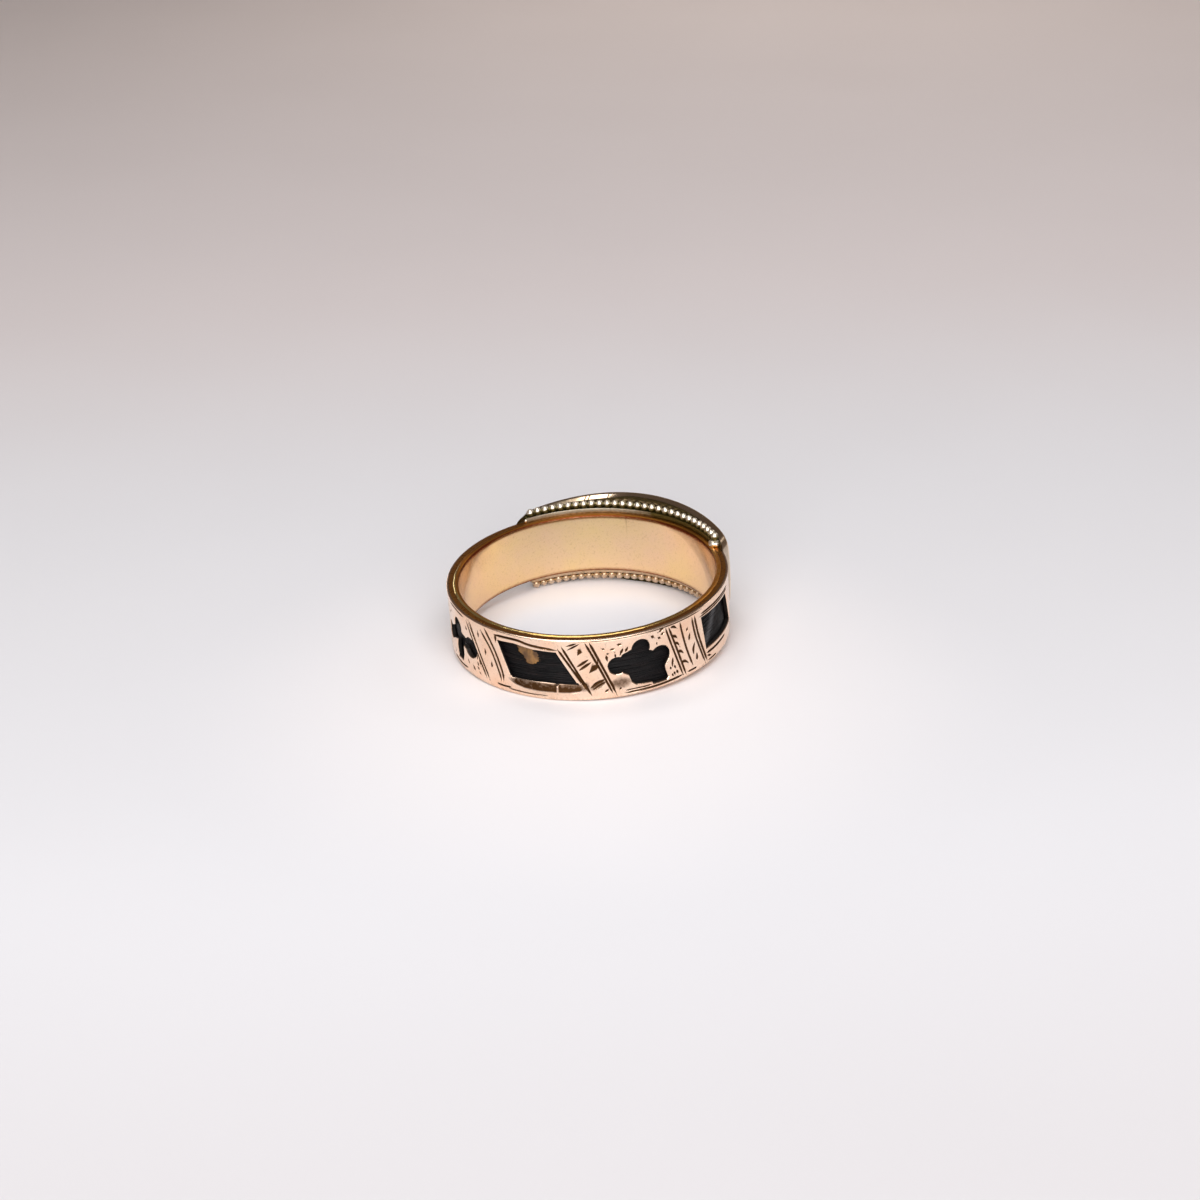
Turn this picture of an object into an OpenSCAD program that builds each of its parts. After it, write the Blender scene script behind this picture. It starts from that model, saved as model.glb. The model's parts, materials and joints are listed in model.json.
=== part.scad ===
// Mourning ring. A thin gold liner sleeve goes round the finger, a band of dark hair
// lies round the liner, and a pierced outer band closes over the hair with a solid
// strip along each edge. A boat-shaped head is soldered to the outer band, and a
// beaded wire runs along each edge of the band behind it.
// The finger goes along Z, z = 0 is the middle of the band's width, the head faces -Y.
// Angles called az are in degrees round the finger from the back of the ring (+Y),
// clockwise seen from above, so +90 is +X and the head is at 180.

/* [Finger] */
// Inside diameter, where the finger goes
finger_d = 17.3; // [15:0.1:21]
// Width of the band along the finger
band_w = 4.5; // [3.6:0.1:7]

/* [Walls] */
// Thickness of the liner sleeve
liner_t = 0.25; // [0.15:0.01:0.6]
// Thickness of the layer of hair
hair_t = 0.26; // [0.15:0.01:0.6]
// Thickness of the pierced outer wall
wall_t = 0.28; // [0.2:0.01:0.6]
// Width of the solid strip along each edge of the outer band
strip_w = 0.38; // [0.25:0.01:0.55]
// Gap at the seam between liner and outer band, and between hair and metal
seam_gap = 0.03; // [0.01:0.005:0.06]
// Rounding of the outer band's outside edges
edge_r = 0.12; // [0.04:0.01:0.2]
// Rounding of the liner's inside edges
bore_edge_r = 0.08; // [0.02:0.01:0.14]
// How far the liner's burnished lips reach out over the outer band
lip_w = 0.13; // [0.05:0.01:0.16]
// Thickness of those lips
lip_t = 0.12; // [0.06:0.01:0.2]

/* [Head] */
// Length of the head's plate across the finger
head_len = 15.6; // [10:0.1:16.5]
// Width of the head's plate along the finger at its ends
head_end_w = 5.1; // [4.6:0.1:8]
// Width of the head's plate along the finger at its middle
head_mid_w = 6.8; // [5:0.1:10]
// How far the plate's rim stands out from the band at its middle
head_rise = 0.7; // [0.4:0.05:2]
// How far the plate's rim stands out from the band at its ends
head_end_rise = 0.4; // [0.2:0.05:1]
// Height of the plate's dome above its rim
dome_h = 0.35; // [0.1:0.05:1.2]
// Rounding of the plate's four corners
corner_r = 0.8; // [0.2:0.1:1.6]

/* [Beaded wires] */
// Diameter of a bead
bead_d = 0.6; // [0.3:0.05:0.9]
// Distance from bead to bead
bead_pitch = 0.56; // [0.4:0.01:1.2]
// Width of the wire's core, which joins its beads up to their middle
bead_core_w = 0.3; // [0.1:0.01:0.5]
// Least distance from the head's end to the last bead's centre
row_inset = 0.6; // [0.3:0.05:1.5]
// Height of the seat under each row of beads, above the band's edge
seat_h = 0.33; // [0.1:0.01:0.8]
// Width of that seat
seat_w = 0.45; // [0.3:0.01:0.55]
// Part of a bead's diameter that is sunk into the seat
bead_sink = 0.1; // [0.02:0.01:0.3]

/* [Wear] */
// Depth of the worn hollow under the back opening
dent_depth = 0.1; // [0.02:0.01:0.16]

/* [Hidden] */
$fn = 96;

bore_r = finger_d / 2;
liner_r = bore_r + liner_t;
hair_in_r = liner_r + seam_gap;
hair_out_r = hair_in_r + hair_t;
channel_r = hair_out_r + seam_gap;
outer_r = channel_r + wall_t;
half_w = band_w / 2;
channel_half = half_w - strip_w;
// A cut or a join runs this far past the face it goes through
over = 0.4;
lap = 0.05;

// Openings. Places round the ring are in degrees, heights are shares of the band's
// width above or below its middle, and radii are shares of that width.
AZ = 0;
HEIGHT = 1;
RADIUS = 2;
// Four-sided windows, from the upper left corner on
back_window = [[15.2, 0.325], [7, 0.345], [-1, 0.3], [-10.4, 0.285], [-18.5, -0.255],
    [-5, -0.24], [9.6, -0.244]];
right_window = [[-74.2, 0.315], [-97.5, 0.3], [-105, -0.27], [-76.8, -0.24]];
left_window = [[99, 0.315], [75.5, 0.32], [70, -0.24], [96.5, -0.25]];
windows = [back_window, right_window, left_window];
// Clubs: three lobes, then the outline of the body and stem that joins them
left_club = [
    [[53, -0.06, 0.145], [43, 0.165, 0.135], [32.5, -0.033, 0.16]],
    [[52, 0.02], [43, 0.2], [38.3, 0.1], [32.5, 0.05], [33.5, -0.16], [38.3, -0.08],
     [38.8, -0.25], [40, -0.36], [45, -0.365], [45.6, -0.2], [44.5, -0.08], [50, -0.16]],
];
right_club = [
    [[-34.2, 0.022, 0.138], [-44, 0.233, 0.14], [-52, 0.022, 0.162]],
    [[-34.2, 0.08], [-36.5, 0.19], [-44, 0.3], [-47.2, 0.17], [-52, 0.08], [-55.5, -0.08],
     [-54, -0.167], [-54.2, -0.233], [-55.3, -0.367], [-54.5, -0.4], [-48.5, -0.4],
     [-47.7, -0.355], [-41.2, -0.333], [-39.5, -0.278], [-38.3, -0.15], [-36, -0.1]],
];
clubs = [left_club, right_club];
LOBES = 0;
BODY = 1;

// Patch at the top of the back window where the hair is worn away
worn_patch = [[7.4, 0.45], [1.8, 0.45], [1.4, 0.275], [-2, 0.2], [-2.6, 0.13], [-1.6, 0.045],
    [0.4, 0.015], [2.4, 0.02], [3.6, 0.066], [4.7, 0.14], [6, 0.184], [6.9, 0.28]];
// Worn hollow under the back window: from and to in degrees, low and high edge
dent_from = -18;
dent_to = 11;
dent_low = -0.39;
dent_high = -0.24;

// Direction round the finger as an [x, y] of unit length
function facing(az) = [sin(az), cos(az)];
// A point of an opening, seen square on from az_mid
function seen(point, az_mid) = [outer_r * sin(point[AZ] - az_mid), point[HEIGHT] * band_w];
function middle_az(points) = (max([for (p = points) p[AZ]]) + min([for (p = points) p[AZ]])) / 2;
// Quarter of a circle from one heading to the next, in four steps
function corner(centre, radius, start) =
    [for (step = [0:4]) centre + radius * [cos(start + step * 22.5), sin(start + step * 22.5)]];

// A flat shape, seen from outside, pushed through the wall towards the finger
module through_wall(az_mid, depth) {
    rotate([0, 0, -az_mid])
        translate([0, outer_r + over, 0])
            rotate([90, 0, 0])
                linear_extrude(height = depth + over)
                    children();
}

module window_shape(corners) {
    az_mid = middle_az(corners);
    through_wall(az_mid, 2 * wall_t)
        polygon([for (p = corners) seen(p, az_mid)]);
}

module club_shape(club) {
    az_mid = middle_az(club[BODY]);
    through_wall(az_mid, 2 * wall_t) {
        for (lobe = club[LOBES])
            translate(seen(lobe, az_mid))
                circle(r = lobe[RADIUS] * band_w);
        polygon([for (p = club[BODY]) seen(p, az_mid)]);
    }
}

// Channel that is open only towards the liner, with rounded outside edges and a step
// along each inside edge for the liner's lip
module band_body() {
    in_r = liner_r + seam_gap;
    step_r = in_r + lip_w;
    step_z = half_w - lip_t - seam_gap;
    rotate_extrude()
        polygon(concat(
            [[step_r, -half_w]],
            corner([outer_r - edge_r, edge_r - half_w], edge_r, 270),
            corner([outer_r - edge_r, half_w - edge_r], edge_r, 0),
            [[step_r, half_w], [step_r, step_z], [in_r, step_z],
             [in_r, channel_half], [channel_r, channel_half],
             [channel_r, -channel_half], [in_r, -channel_half],
             [in_r, -step_z], [step_r, -step_z]]));
}

// Shallow slope that wear has pressed into the face below the back opening
module dent() {
    low = dent_low * band_w;
    high = dent_high * band_w;
    rotate([0, 0, 90 - dent_to])
        rotate_extrude(angle = dent_to - dent_from)
            polygon([[outer_r, low], [outer_r + over, low], [outer_r + over, high + lap],
                     [outer_r - dent_depth, high + lap], [outer_r - dent_depth, high]]);
}

// Boat outline of the head, seen from the front. Its long sides are two arcs, and each
// corner is a smaller arc that runs into the side and into the straight end.
module head_outline() {
    half_len = head_len / 2;
    half_mid = head_mid_w / 2;
    swell = half_mid - head_end_w / 2;
    side_r = (half_len * half_len + swell * swell) / (2 * swell);
    corner_x = half_len - corner_r;
    corner_y = half_mid - side_r + sqrt(pow(side_r - corner_r, 2) - pow(corner_x, 2));
    touch_x = corner_x * side_r / (side_r - corner_r);
    intersection() {
        translate([0, half_mid - side_r])
            circle(r = side_r, $fn = 360);
        translate([0, side_r - half_mid])
            circle(r = side_r, $fn = 360);
        union() {
            square([head_len, 2 * corner_y], center = true);
            square([2 * touch_x, head_mid_w], center = true);
            for (side = [-1, 1])
                for (level = [-1, 1])
                    translate([side * corner_x, level * corner_y])
                        circle(r = corner_r);
        }
    }
}

// Domed plate. Its outside is round an axis of its own, nearer the head than the
// finger's, so the plate is thicker at its middle than at its ends.
module head_plate() {
    half_mid = head_mid_w / 2;
    end_cos = sqrt(1 - pow(head_len / 2 / outer_r, 2));
    lead = (head_rise - head_end_rise) / (1 - end_cos);
    rim_r = outer_r + head_rise - lead;
    steps = 8;
    dome = [for (i = [-steps:steps])
        [rim_r + dome_h * (1 - pow(i / steps, 2)), half_mid * i / steps]];
    difference() {
        intersection() {
            translate([0, -lead, 0])
                rotate_extrude()
                    polygon(concat([[rim_r / 2, -half_mid]], dome, [[rim_r / 2, half_mid]]));
            rotate([90, 0, 0])
                linear_extrude(height = 2 * outer_r)
                    head_outline();
        }
        cylinder(r = outer_r - lap, h = 2 * head_mid_w, center = true);
    }
}

// The beads' centres lie round the finger axis at this radius and height
row_r = outer_r - seat_w / 2;
row_z = half_w + seat_h + bead_d * (0.5 - bead_sink);
// Angle from bead to bead, and the number of beads on each side of the middle one
bead_step = bead_pitch / row_r * 180 / PI;
bead_reach = asin((head_len / 2 - row_inset) / outer_r);
side_beads = floor(bead_reach / bead_step);

// A flat section turned round the finger, as far as half_angle on each side of the head
module behind_head(half_angle) {
    rotate([0, 0, 270 - half_angle])
        rotate_extrude(angle = 2 * half_angle)
            children();
}

module bead_seat() {
    behind_head(bead_reach + bead_d / outer_r * 90 / PI)
        translate([outer_r - seat_w, half_w - lap])
            square([seat_w + lap, seat_h + lap]);
}

module beaded_wire() {
    behind_head(side_beads * bead_step)
        translate([row_r - bead_core_w / 2, half_w])
            square([bead_core_w, row_z - half_w]);
    for (i = [-side_beads:side_beads])
        translate(concat(row_r * facing(180 + i * bead_step), [row_z]))
            sphere(d = bead_d, $fn = 16);
}

module liner_sleeve() {
    color("peru")
        rotate_extrude()
            polygon(concat(
                [[liner_r + lip_w, -half_w], [liner_r + lip_w, lip_t - half_w],
                 [liner_r, lip_t - half_w], [liner_r, half_w - lip_t],
                 [liner_r + lip_w, half_w - lip_t], [liner_r + lip_w, half_w]],
                corner([bore_r + bore_edge_r, half_w - bore_edge_r], bore_edge_r, 90),
                corner([bore_r + bore_edge_r, bore_edge_r - half_w], bore_edge_r, 180)));
}

module hair_band() {
    hair_half = channel_half - seam_gap;
    az_mid = middle_az(worn_patch);
    color("black")
        difference() {
            rotate_extrude()
                translate([hair_in_r, -hair_half])
                    square([hair_t, 2 * hair_half]);
            through_wall(az_mid, outer_r / 2)
                polygon([for (p = worn_patch) seen(p, az_mid)]);
        }
}

module pierced_band() {
    color("goldenrod") {
        difference() {
            band_body();
            for (corners = windows)
                window_shape(corners);
            for (club = clubs)
                club_shape(club);
            dent();
        }
        head_plate();
        for (level = [0, 1])
            mirror([0, 0, level]) {
                bead_seat();
                beaded_wire();
            }
    }
}

liner_sleeve();
hair_band();
pierced_band();
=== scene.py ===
"""A mourning ring lying on its side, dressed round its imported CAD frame.

The ring is a plain gold liner sleeve, a band of dark hair laid round it, and a pierced and
engraved outer band with a boat-shaped head and two beaded wires.

Sizes inside the classes are in millimetres, and meshes are scaled to metres when they are
finished. The finger goes along Z, z = 0 is the middle of the band's width, and the head faces
-Y. Angles called az are in degrees round the finger from the back of the ring (+Y), clockwise
seen from above, so +90 is +X and the head is at 180.
"""

import json
import logging
import math
from collections.abc import Callable, Sequence
from dataclasses import dataclass
from enum import Enum

import bmesh
import bpy
import numpy as np
from mathutils import Matrix, Vector, noise
from mathutils.geometry import delaunay_2d_cdt


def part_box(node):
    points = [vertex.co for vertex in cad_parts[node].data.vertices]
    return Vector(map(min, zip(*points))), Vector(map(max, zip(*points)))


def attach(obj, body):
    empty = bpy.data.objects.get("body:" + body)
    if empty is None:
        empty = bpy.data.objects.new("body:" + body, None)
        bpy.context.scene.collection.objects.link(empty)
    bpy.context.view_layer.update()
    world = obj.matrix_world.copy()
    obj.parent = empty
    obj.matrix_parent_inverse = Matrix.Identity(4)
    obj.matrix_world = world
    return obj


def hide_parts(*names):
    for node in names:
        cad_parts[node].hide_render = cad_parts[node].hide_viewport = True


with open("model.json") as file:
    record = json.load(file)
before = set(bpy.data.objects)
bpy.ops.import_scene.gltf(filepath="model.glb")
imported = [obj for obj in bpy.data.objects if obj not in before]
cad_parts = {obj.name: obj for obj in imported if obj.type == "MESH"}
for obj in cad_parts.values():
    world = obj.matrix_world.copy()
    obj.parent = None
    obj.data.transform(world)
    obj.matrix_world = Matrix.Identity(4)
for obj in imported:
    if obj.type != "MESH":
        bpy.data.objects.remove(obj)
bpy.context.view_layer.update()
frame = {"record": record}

BODY = "root"
MM = 0.001
# Mesh attribute that darkens the gold: real tarnishing in cuts, seams and nicks, and painted shade and
# painted reflection elsewhere
TARNISH_AND_SHADE = "tarnish"
PAINTED_SHEEN = "sheen"
# The side of the ring that the photograph shows, and from which the camera looks
FRONT_AZ = -25.0
# Cuts are listed by their dark cores, and their sloping sides make them this much wider
FLARE = 2.1
# What is nearer than this to a radius or an edge lies on it
TOUCH = 1e-4
NOISE_ROUGHNESS = 0.55

Point = tuple[float, float]
Triple = tuple[float, float, float]
Piece = bpy.types.Object
Material = bpy.types.Material
Socket = bpy.types.NodeSocket
Vertex = bmesh.types.BMVert
Place = tuple[int, int]
OnRing = Callable[[float, float, float], float]
Path = Sequence[Point]
Array = np.ndarray
Arrays = tuple[Array, Array]

log = logging.getLogger("mourning_ring")


class Slot(Enum):
    """Material slots of the record."""

    LINER = "liner_gold"
    BAND = "band_gold"
    HAIR = "hair"


class Node(Enum):
    """CAD nodes that pieces stand for."""

    LINER = "liner_sleeve"
    HAIR = "hair_band"
    BAND = "pierced_band"


class Cut(Enum):
    """How a graver's cut swells and thins out along its length."""

    LINE = "line"
    DAGGER = "dagger"
    LEAF = "leaf"
    WEDGE = "wedge"


class Row(Enum):
    """The two rows of beads, by the side of the band that each is on."""

    UPPER = 1
    LOWER = -1

    @property
    def word(self) -> str:
        """The row's word in the names of its pieces."""
        return self.name.lower()


@dataclass(frozen=True)
class RingSizes:
    """Sizes that several pieces share, in millimetres, as in the part's source."""

    bore_r: float
    outer_r: float
    half_w: float
    liner_t: float = 0.25
    hair_t: float = 0.26
    wall_t: float = 0.28
    strip_w: float = 0.38
    seam_gap: float = 0.03
    edge_r: float = 0.12
    lip_w: float = 0.13
    lip_t: float = 0.12
    head_len: float = 15.6
    head_end_w: float = 5.1
    head_mid_w: float = 6.8
    head_rise: float = 0.7
    head_end_rise: float = 0.4
    dome_h: float = 0.35
    corner_r: float = 0.8
    bead_d: float = 0.6
    bead_pitch: float = 0.56
    row_inset: float = 0.6
    seat_h: float = 0.33
    seat_w: float = 0.45
    bead_sink: float = 0.1

    @classmethod
    def from_frame(cls) -> "RingSizes":
        """Reads the bore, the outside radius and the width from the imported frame."""
        bore = frame["record"]["mounts"][0]["dims"]["r_mm"]
        low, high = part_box(Node.LINER.value)
        _, band_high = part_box(Node.BAND.value)
        return cls(bore_r=bore, outer_r=band_high.x / MM, half_w=(high.z - low.z) / 2 / MM)

    @property
    def liner_r(self) -> float:
        """Outside radius of the liner sleeve."""
        return self.bore_r + self.liner_t

    @property
    def hair_in_r(self) -> float:
        """Inside radius of the layer of hair."""
        return self.liner_r + self.seam_gap

    @property
    def hair_out_r(self) -> float:
        """Outside radius of the layer of hair."""
        return self.hair_in_r + self.hair_t

    @property
    def channel_r(self) -> float:
        """Inside radius of the pierced wall."""
        return self.outer_r - self.wall_t

    @property
    def channel_half(self) -> float:
        """Half of the width between the two solid strips."""
        return self.half_w - self.strip_w

    @property
    def face_half(self) -> float:
        """Half of the width of the outer face, between its rounded edges."""
        return self.half_w - self.edge_r

    @property
    def row_r(self) -> float:
        """Radius at which the beads' centres lie."""
        return self.outer_r - self.seat_w / 2

    @property
    def row_z(self) -> float:
        """Height at which the beads' centres lie."""
        return self.half_w + self.seat_h + self.bead_d * (0.5 - self.bead_sink)

    @property
    def bead_step(self) -> float:
        """Angle from bead to bead in degrees."""
        return math.degrees(self.bead_pitch / self.row_r)

    @property
    def bead_reach(self) -> float:
        """Angle from the middle of the head to the last possible bead, in degrees."""
        return math.degrees(math.asin((self.head_len / 2 - self.row_inset) / self.outer_r))

    @property
    def side_beads(self) -> int:
        """Number of beads on each side of the middle one."""
        return int(self.bead_reach / self.bead_step)

    @property
    def head_lead(self) -> float:
        """How far the head's own axis lies in front of the finger's."""
        end_cos = math.sqrt(1 - (self.head_len / 2 / self.outer_r) ** 2)
        return (self.head_rise - self.head_end_rise) / (1 - end_cos)

    @property
    def rim_r(self) -> float:
        """Radius of the head plate's rim round the head's own axis."""
        return self.outer_r + self.head_rise - self.head_lead


def around(radius: float, az: float, height: float) -> Vector:
    """Gives the place at a radius, an az in degrees and a height."""
    turn = math.radians(az)
    return Vector((radius * math.sin(turn), radius * math.cos(turn), height))


def clamp(value: float) -> float:
    """Keeps a value from 0 to 1."""
    return min(1.0, max(0.0, value))


def from_front(az: float) -> float:
    """Gives how far an az lies from the side that the photograph shows, in degrees."""
    return (az - FRONT_AZ + 180) % 360 - 180


def new_object(name: str, data: bpy.types.ID) -> Piece:
    """Makes an object and puts it in the scene.

    Args:
        name: Its name.
        data: Its mesh, light or camera.

    Returns:
        The new object.
    """
    made = bpy.data.objects.new(name, data)
    bpy.context.scene.collection.objects.link(made)
    return made


@dataclass
class NodeTree:
    """Adds and links nodes of one tree with few words."""

    tree: bpy.types.NodeTree

    def add(self, kind: str, inputs: dict | None = None, **settings: object) -> bpy.types.Node:
        """Adds a node.

        Args:
            kind: Blender's name of the node's type.
            inputs: Value or output socket for each input, by name or by place.
            settings: Properties of the node.

        Returns:
            The new node.
        """
        node = self.tree.nodes.new(kind)
        for name, value in settings.items():
            setattr(node, name, value)
        for name, value in (inputs or {}).items():
            socket = node.inputs[name]
            if isinstance(value, Socket):
                self.tree.links.new(value, socket)
            else:
                socket.default_value = value
        return node

    def out(self, kind: str, inputs: dict | None = None, result: int | str = 0,
            **settings: object) -> Socket:
        """Adds a node and gives one of its outputs, the first unless another is named."""
        return self.add(kind, inputs, **settings).outputs[result]

    def math(self, operation: str, *values: object) -> Socket:
        """Adds a Math node on numbers or sockets and gives its result."""
        return self.out("ShaderNodeMath", dict(enumerate(values)), operation=operation)

    def measure(self, operation: str, *values: object) -> Socket:
        """Adds a Vector Math node whose result is a number and gives that."""
        kind = "ShaderNodeVectorMath"
        return self.out(kind, dict(enumerate(values)), "Value", operation=operation)


class ShaderMaker(NodeTree):
    """A new material's tree, with its Principled shader and the patterns the finishes share."""

    def __init__(self, name: str) -> None:
        """Makes the material.

        Args:
            name: Name of the material.
        """
        self.material = bpy.data.materials.new(name)
        self.material.use_nodes = True
        super().__init__(self.material.node_tree)
        self.shader = self.tree.nodes["Principled BSDF"]
        self.place = self.out("ShaderNodeTexCoord", result="Object")

    def noise(self, per_mm: float, detail: float = 4.0, stretch: Triple = (1, 1, 1)) -> Socket:
        """Gives noise from 0 to 1, by its features in a millimetre, octaves and stretch."""
        mapped = self.out("ShaderNodeMapping", {"Vector": self.place, "Scale": stretch})
        return self.out("ShaderNodeTexNoise", {
            "Vector": mapped, "Scale": per_mm / MM, "Detail": detail,
            "Roughness": NOISE_ROUGHNESS}, "Fac")

    def ramp(self, value: Socket, low: float, high: float, to_low: float = 0.0,
             to_high: float = 1.0, form: str = "LINEAR") -> Socket:
        """Maps a range of a value to another range, and stays within it."""
        return self.out("ShaderNodeMapRange", {
            "Value": value, "From Min": low, "From Max": high,
            "To Min": to_low, "To Max": to_high}, "Result", interpolation_type=form)

    def mix(self, share: Socket, first: Triple | Socket, second: Triple) -> Socket:
        """Mixes two colours.

        Args:
            share: Share of the second colour.
            first: Colour or output socket.
            second: Colour.

        Returns:
            The mixed colour.
        """
        first = first if isinstance(first, Socket) else (*first, 1.0)
        inputs = {0: share, 6: first, 7: (*second, 1.0)}
        return self.out("ShaderNodeMix", inputs, 2, data_type="RGBA")

    def attribute(self, name: str) -> Socket:
        """Gives a mesh attribute's value."""
        return self.out("ShaderNodeAttribute", result="Fac", attribute_name=name)

    def bump(self, height: Socket, depth: float, below: Socket | None = None) -> Socket:
        """Adds a bump.

        Args:
            height: Height pattern from 0 to 1.
            depth: Depth of the pattern in millimetres.
            below: Normal of a bump under this one.

        Returns:
            The bumped normal.
        """
        inputs = {"Height": height, "Distance": depth * MM}
        if below is not None:
            inputs["Normal"] = below
        return self.out("ShaderNodeBump", inputs, "Normal")

    def feed(self, **links: Socket) -> Material:
        """Links output sockets to the shader, with _ for a space in a socket's name.

        Args:
            links: Output socket for each of the shader's inputs.

        Returns:
            The finished material.
        """
        for name, value in links.items():
            self.tree.links.new(value, self.shader.inputs[name.replace("_", " ")])
        return self.material


@dataclass(frozen=True)
class GoldFinish:
    """Old polished gold, worn smooth and finely scratched, and darkened by its mesh attribute, which
    holds both real tarnishing and painted shade.
    """

    name: str
    colour: Triple
    deep_colour: Triple
    tarnish_and_shade_colour: Triple = (0.085, 0.026, 0.009)
    deep_dirt_and_shade_colour: Triple = (0.004, 0.002, 0.001)
    smooth: float = 0.1
    rough: float = 0.24
    patch_per_mm: float = 0.45
    scratch_depth: float = 0.0016
    wave_depth: float = 0.006
    speck_share: float = 0.22
    deep_dirt_and_shade_share: float = 0.7

    def material(self) -> Material:
        """Makes the metal, darkened by the mesh's own attribute of real tarnishing and painted shade."""
        maker = ShaderMaker(self.name)
        maker.shader.inputs["Metallic"].default_value = 1.0
        patches = maker.ramp(maker.noise(self.patch_per_mm, 5.0), 0.35, 0.68)
        colour = maker.mix(patches, self.colour, self.deep_colour)
        specks = maker.ramp(maker.noise(7.0, 4.0), 0.56, 0.72, 0.0, self.speck_share)
        colour = maker.mix(specks, colour, self.tarnish_and_shade_colour)
        uneven = maker.ramp(maker.noise(4.5, 4.0), 0.35, 0.65, 0.86, 1.12)
        tarnish = maker.ramp(maker.math("MULTIPLY", maker.attribute(TARNISH_AND_SHADE), uneven), 0.05, 0.35)
        colour = maker.mix(tarnish, colour, self.tarnish_and_shade_colour)
        deep_dirt_and_shade = maker.ramp(maker.attribute(TARNISH_AND_SHADE), 0.45, 0.9, 0.0, self.deep_dirt_and_shade_share)
        colour = maker.mix(deep_dirt_and_shade, colour, self.deep_dirt_and_shade_colour)
        polish = maker.ramp(maker.noise(1.1, 6.0), 0.3, 0.75, self.smooth, self.rough)
        dulled = maker.math("MAXIMUM", polish, maker.math("MULTIPLY", tarnish, 0.42))
        waves = maker.bump(maker.noise(0.9, 2.0), self.wave_depth)
        along = maker.noise(22.0, 3.0, (1, 1, 0.12))
        across = maker.noise(18.0, 3.0, (0.15, 0.15, 1))
        scratches = maker.math("MULTIPLY", along, across)
        normal = maker.bump(scratches, self.scratch_depth, waves)
        return maker.feed(Base_Color=colour, Roughness=dulled, Normal=normal)


@dataclass(frozen=True)
class BackingFinish:
    """Dull, blotched non-metal: the tan skin of old glue on the liner's outside where the hair is worn
    away, and the near-black of the sawn sides.
    """

    name: str
    light: Triple = (0.31, 0.155, 0.042)
    dark: Triple = (0.1, 0.045, 0.014)

    def material(self) -> Material:
        """Makes the material."""
        maker = ShaderMaker(self.name)
        blotches = maker.ramp(maker.noise(2.0, 5.0, (1, 1, 0.5)), 0.4, 0.6)
        colour = maker.mix(blotches, self.light, self.dark)
        rough = maker.ramp(maker.noise(3.0), 0.3, 0.7, 0.45, 0.7)
        normal = maker.bump(maker.noise(5.0, 4.0), 0.02)
        return maker.feed(Base_Color=colour, Roughness=rough, Normal=normal)


@dataclass(frozen=True)
class HairFinish:
    """Dark brown hair, nearly black, with a painted sheen that lightens one band of strands."""

    name: str
    dark: Triple = (0.0022, 0.0021, 0.0027)
    warm: Triple = (0.01, 0.006, 0.006)
    sheen: Triple = (0.1, 0.1, 0.106)
    rough_low: float = 0.34
    rough_high: float = 0.55

    def material(self) -> Material:
        """Makes the material."""
        maker = ShaderMaker(self.name)
        maker.shader.inputs["Specular IOR Level"].default_value = 0.21
        tint = maker.ramp(maker.noise(0.8, 5.0, (1, 1, 3)), 0.45, 0.75)
        colour = maker.mix(tint, self.dark, self.warm)
        # Painted sheen: lightens the strands that the attribute marks
        colour = maker.mix(maker.attribute(PAINTED_SHEEN), colour, self.sheen)
        rough = maker.ramp(maker.noise(3.0), 0.3, 0.7, self.rough_low, self.rough_high)
        normal = maker.bump(maker.noise(14.0, 3.0, (0.3, 0.3, 2.0)), 0.008)
        return maker.feed(Base_Color=colour, Roughness=rough, Normal=normal)


@dataclass(frozen=True)
class FloorFinish:
    """Smooth pale board, with painted light: a bright pool round the ring, dimming far in front, a warm
    pinkish tint behind and a cooler tint inside the ring.
    """

    name: str
    colour: Triple = (0.835, 0.845, 0.885)
    shade: Triple = (0.815, 0.82, 0.86)
    # Painted light colours: the bright pool round the ring, the dimming far in front, the warm tint
    # behind and the cooler tint inside the ring
    painted_light_pool: Triple = (0.94, 0.925, 0.95)
    dull: Triple = (0.71, 0.7, 0.725)
    pink: Triple = (0.835, 0.785, 0.8)
    hollow: Triple = (0.82, 0.86, 0.945)
    light_pool_middle: float = 7.0
    light_pool_reach: Point = (8.0, 29.0)
    hollow_reach: Point = (5.5, 9.0)
    dimming_reach: Point = (26.0, 62.0)
    warm_light_reach: Point = (-90.0, -20.0)

    def material(self) -> Material:
        """Makes the material."""
        maker = ShaderMaker(self.name)
        colour = maker.mix(maker.noise(0.012, 2.0), self.colour, self.shade)
        middle = around(self.light_pool_middle * MM, FRONT_AZ, 0)
        away = maker.measure("DISTANCE", maker.place, middle)
        out = maker.measure("LENGTH", maker.place)
        ahead = maker.measure("DOT_PRODUCT", maker.place, around(1, FRONT_AZ, 0))
        # Mixes in the painted light: warm tint behind, pool round the ring, cooler tint inside it and
        # dimming far in front
        for tone, distance, reach, ends in (
                (self.pink, ahead, self.warm_light_reach, (1.0, 0.0)),
                (self.painted_light_pool, away, self.light_pool_reach, (1.0, 0.0)),
                (self.hollow, out, self.hollow_reach, (1.0, 0.0)),
                (self.dull, ahead, self.dimming_reach, (0.0, 1.0))):
            low, high = (length * MM for length in reach)
            colour = maker.mix(maker.ramp(distance, low, high, *ends, "SMOOTHSTEP"), colour, tone)
        rough = maker.ramp(maker.noise(0.05), 0.3, 0.7, 0.55, 0.65)
        return maker.feed(Base_Color=colour, Roughness=rough)


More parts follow.
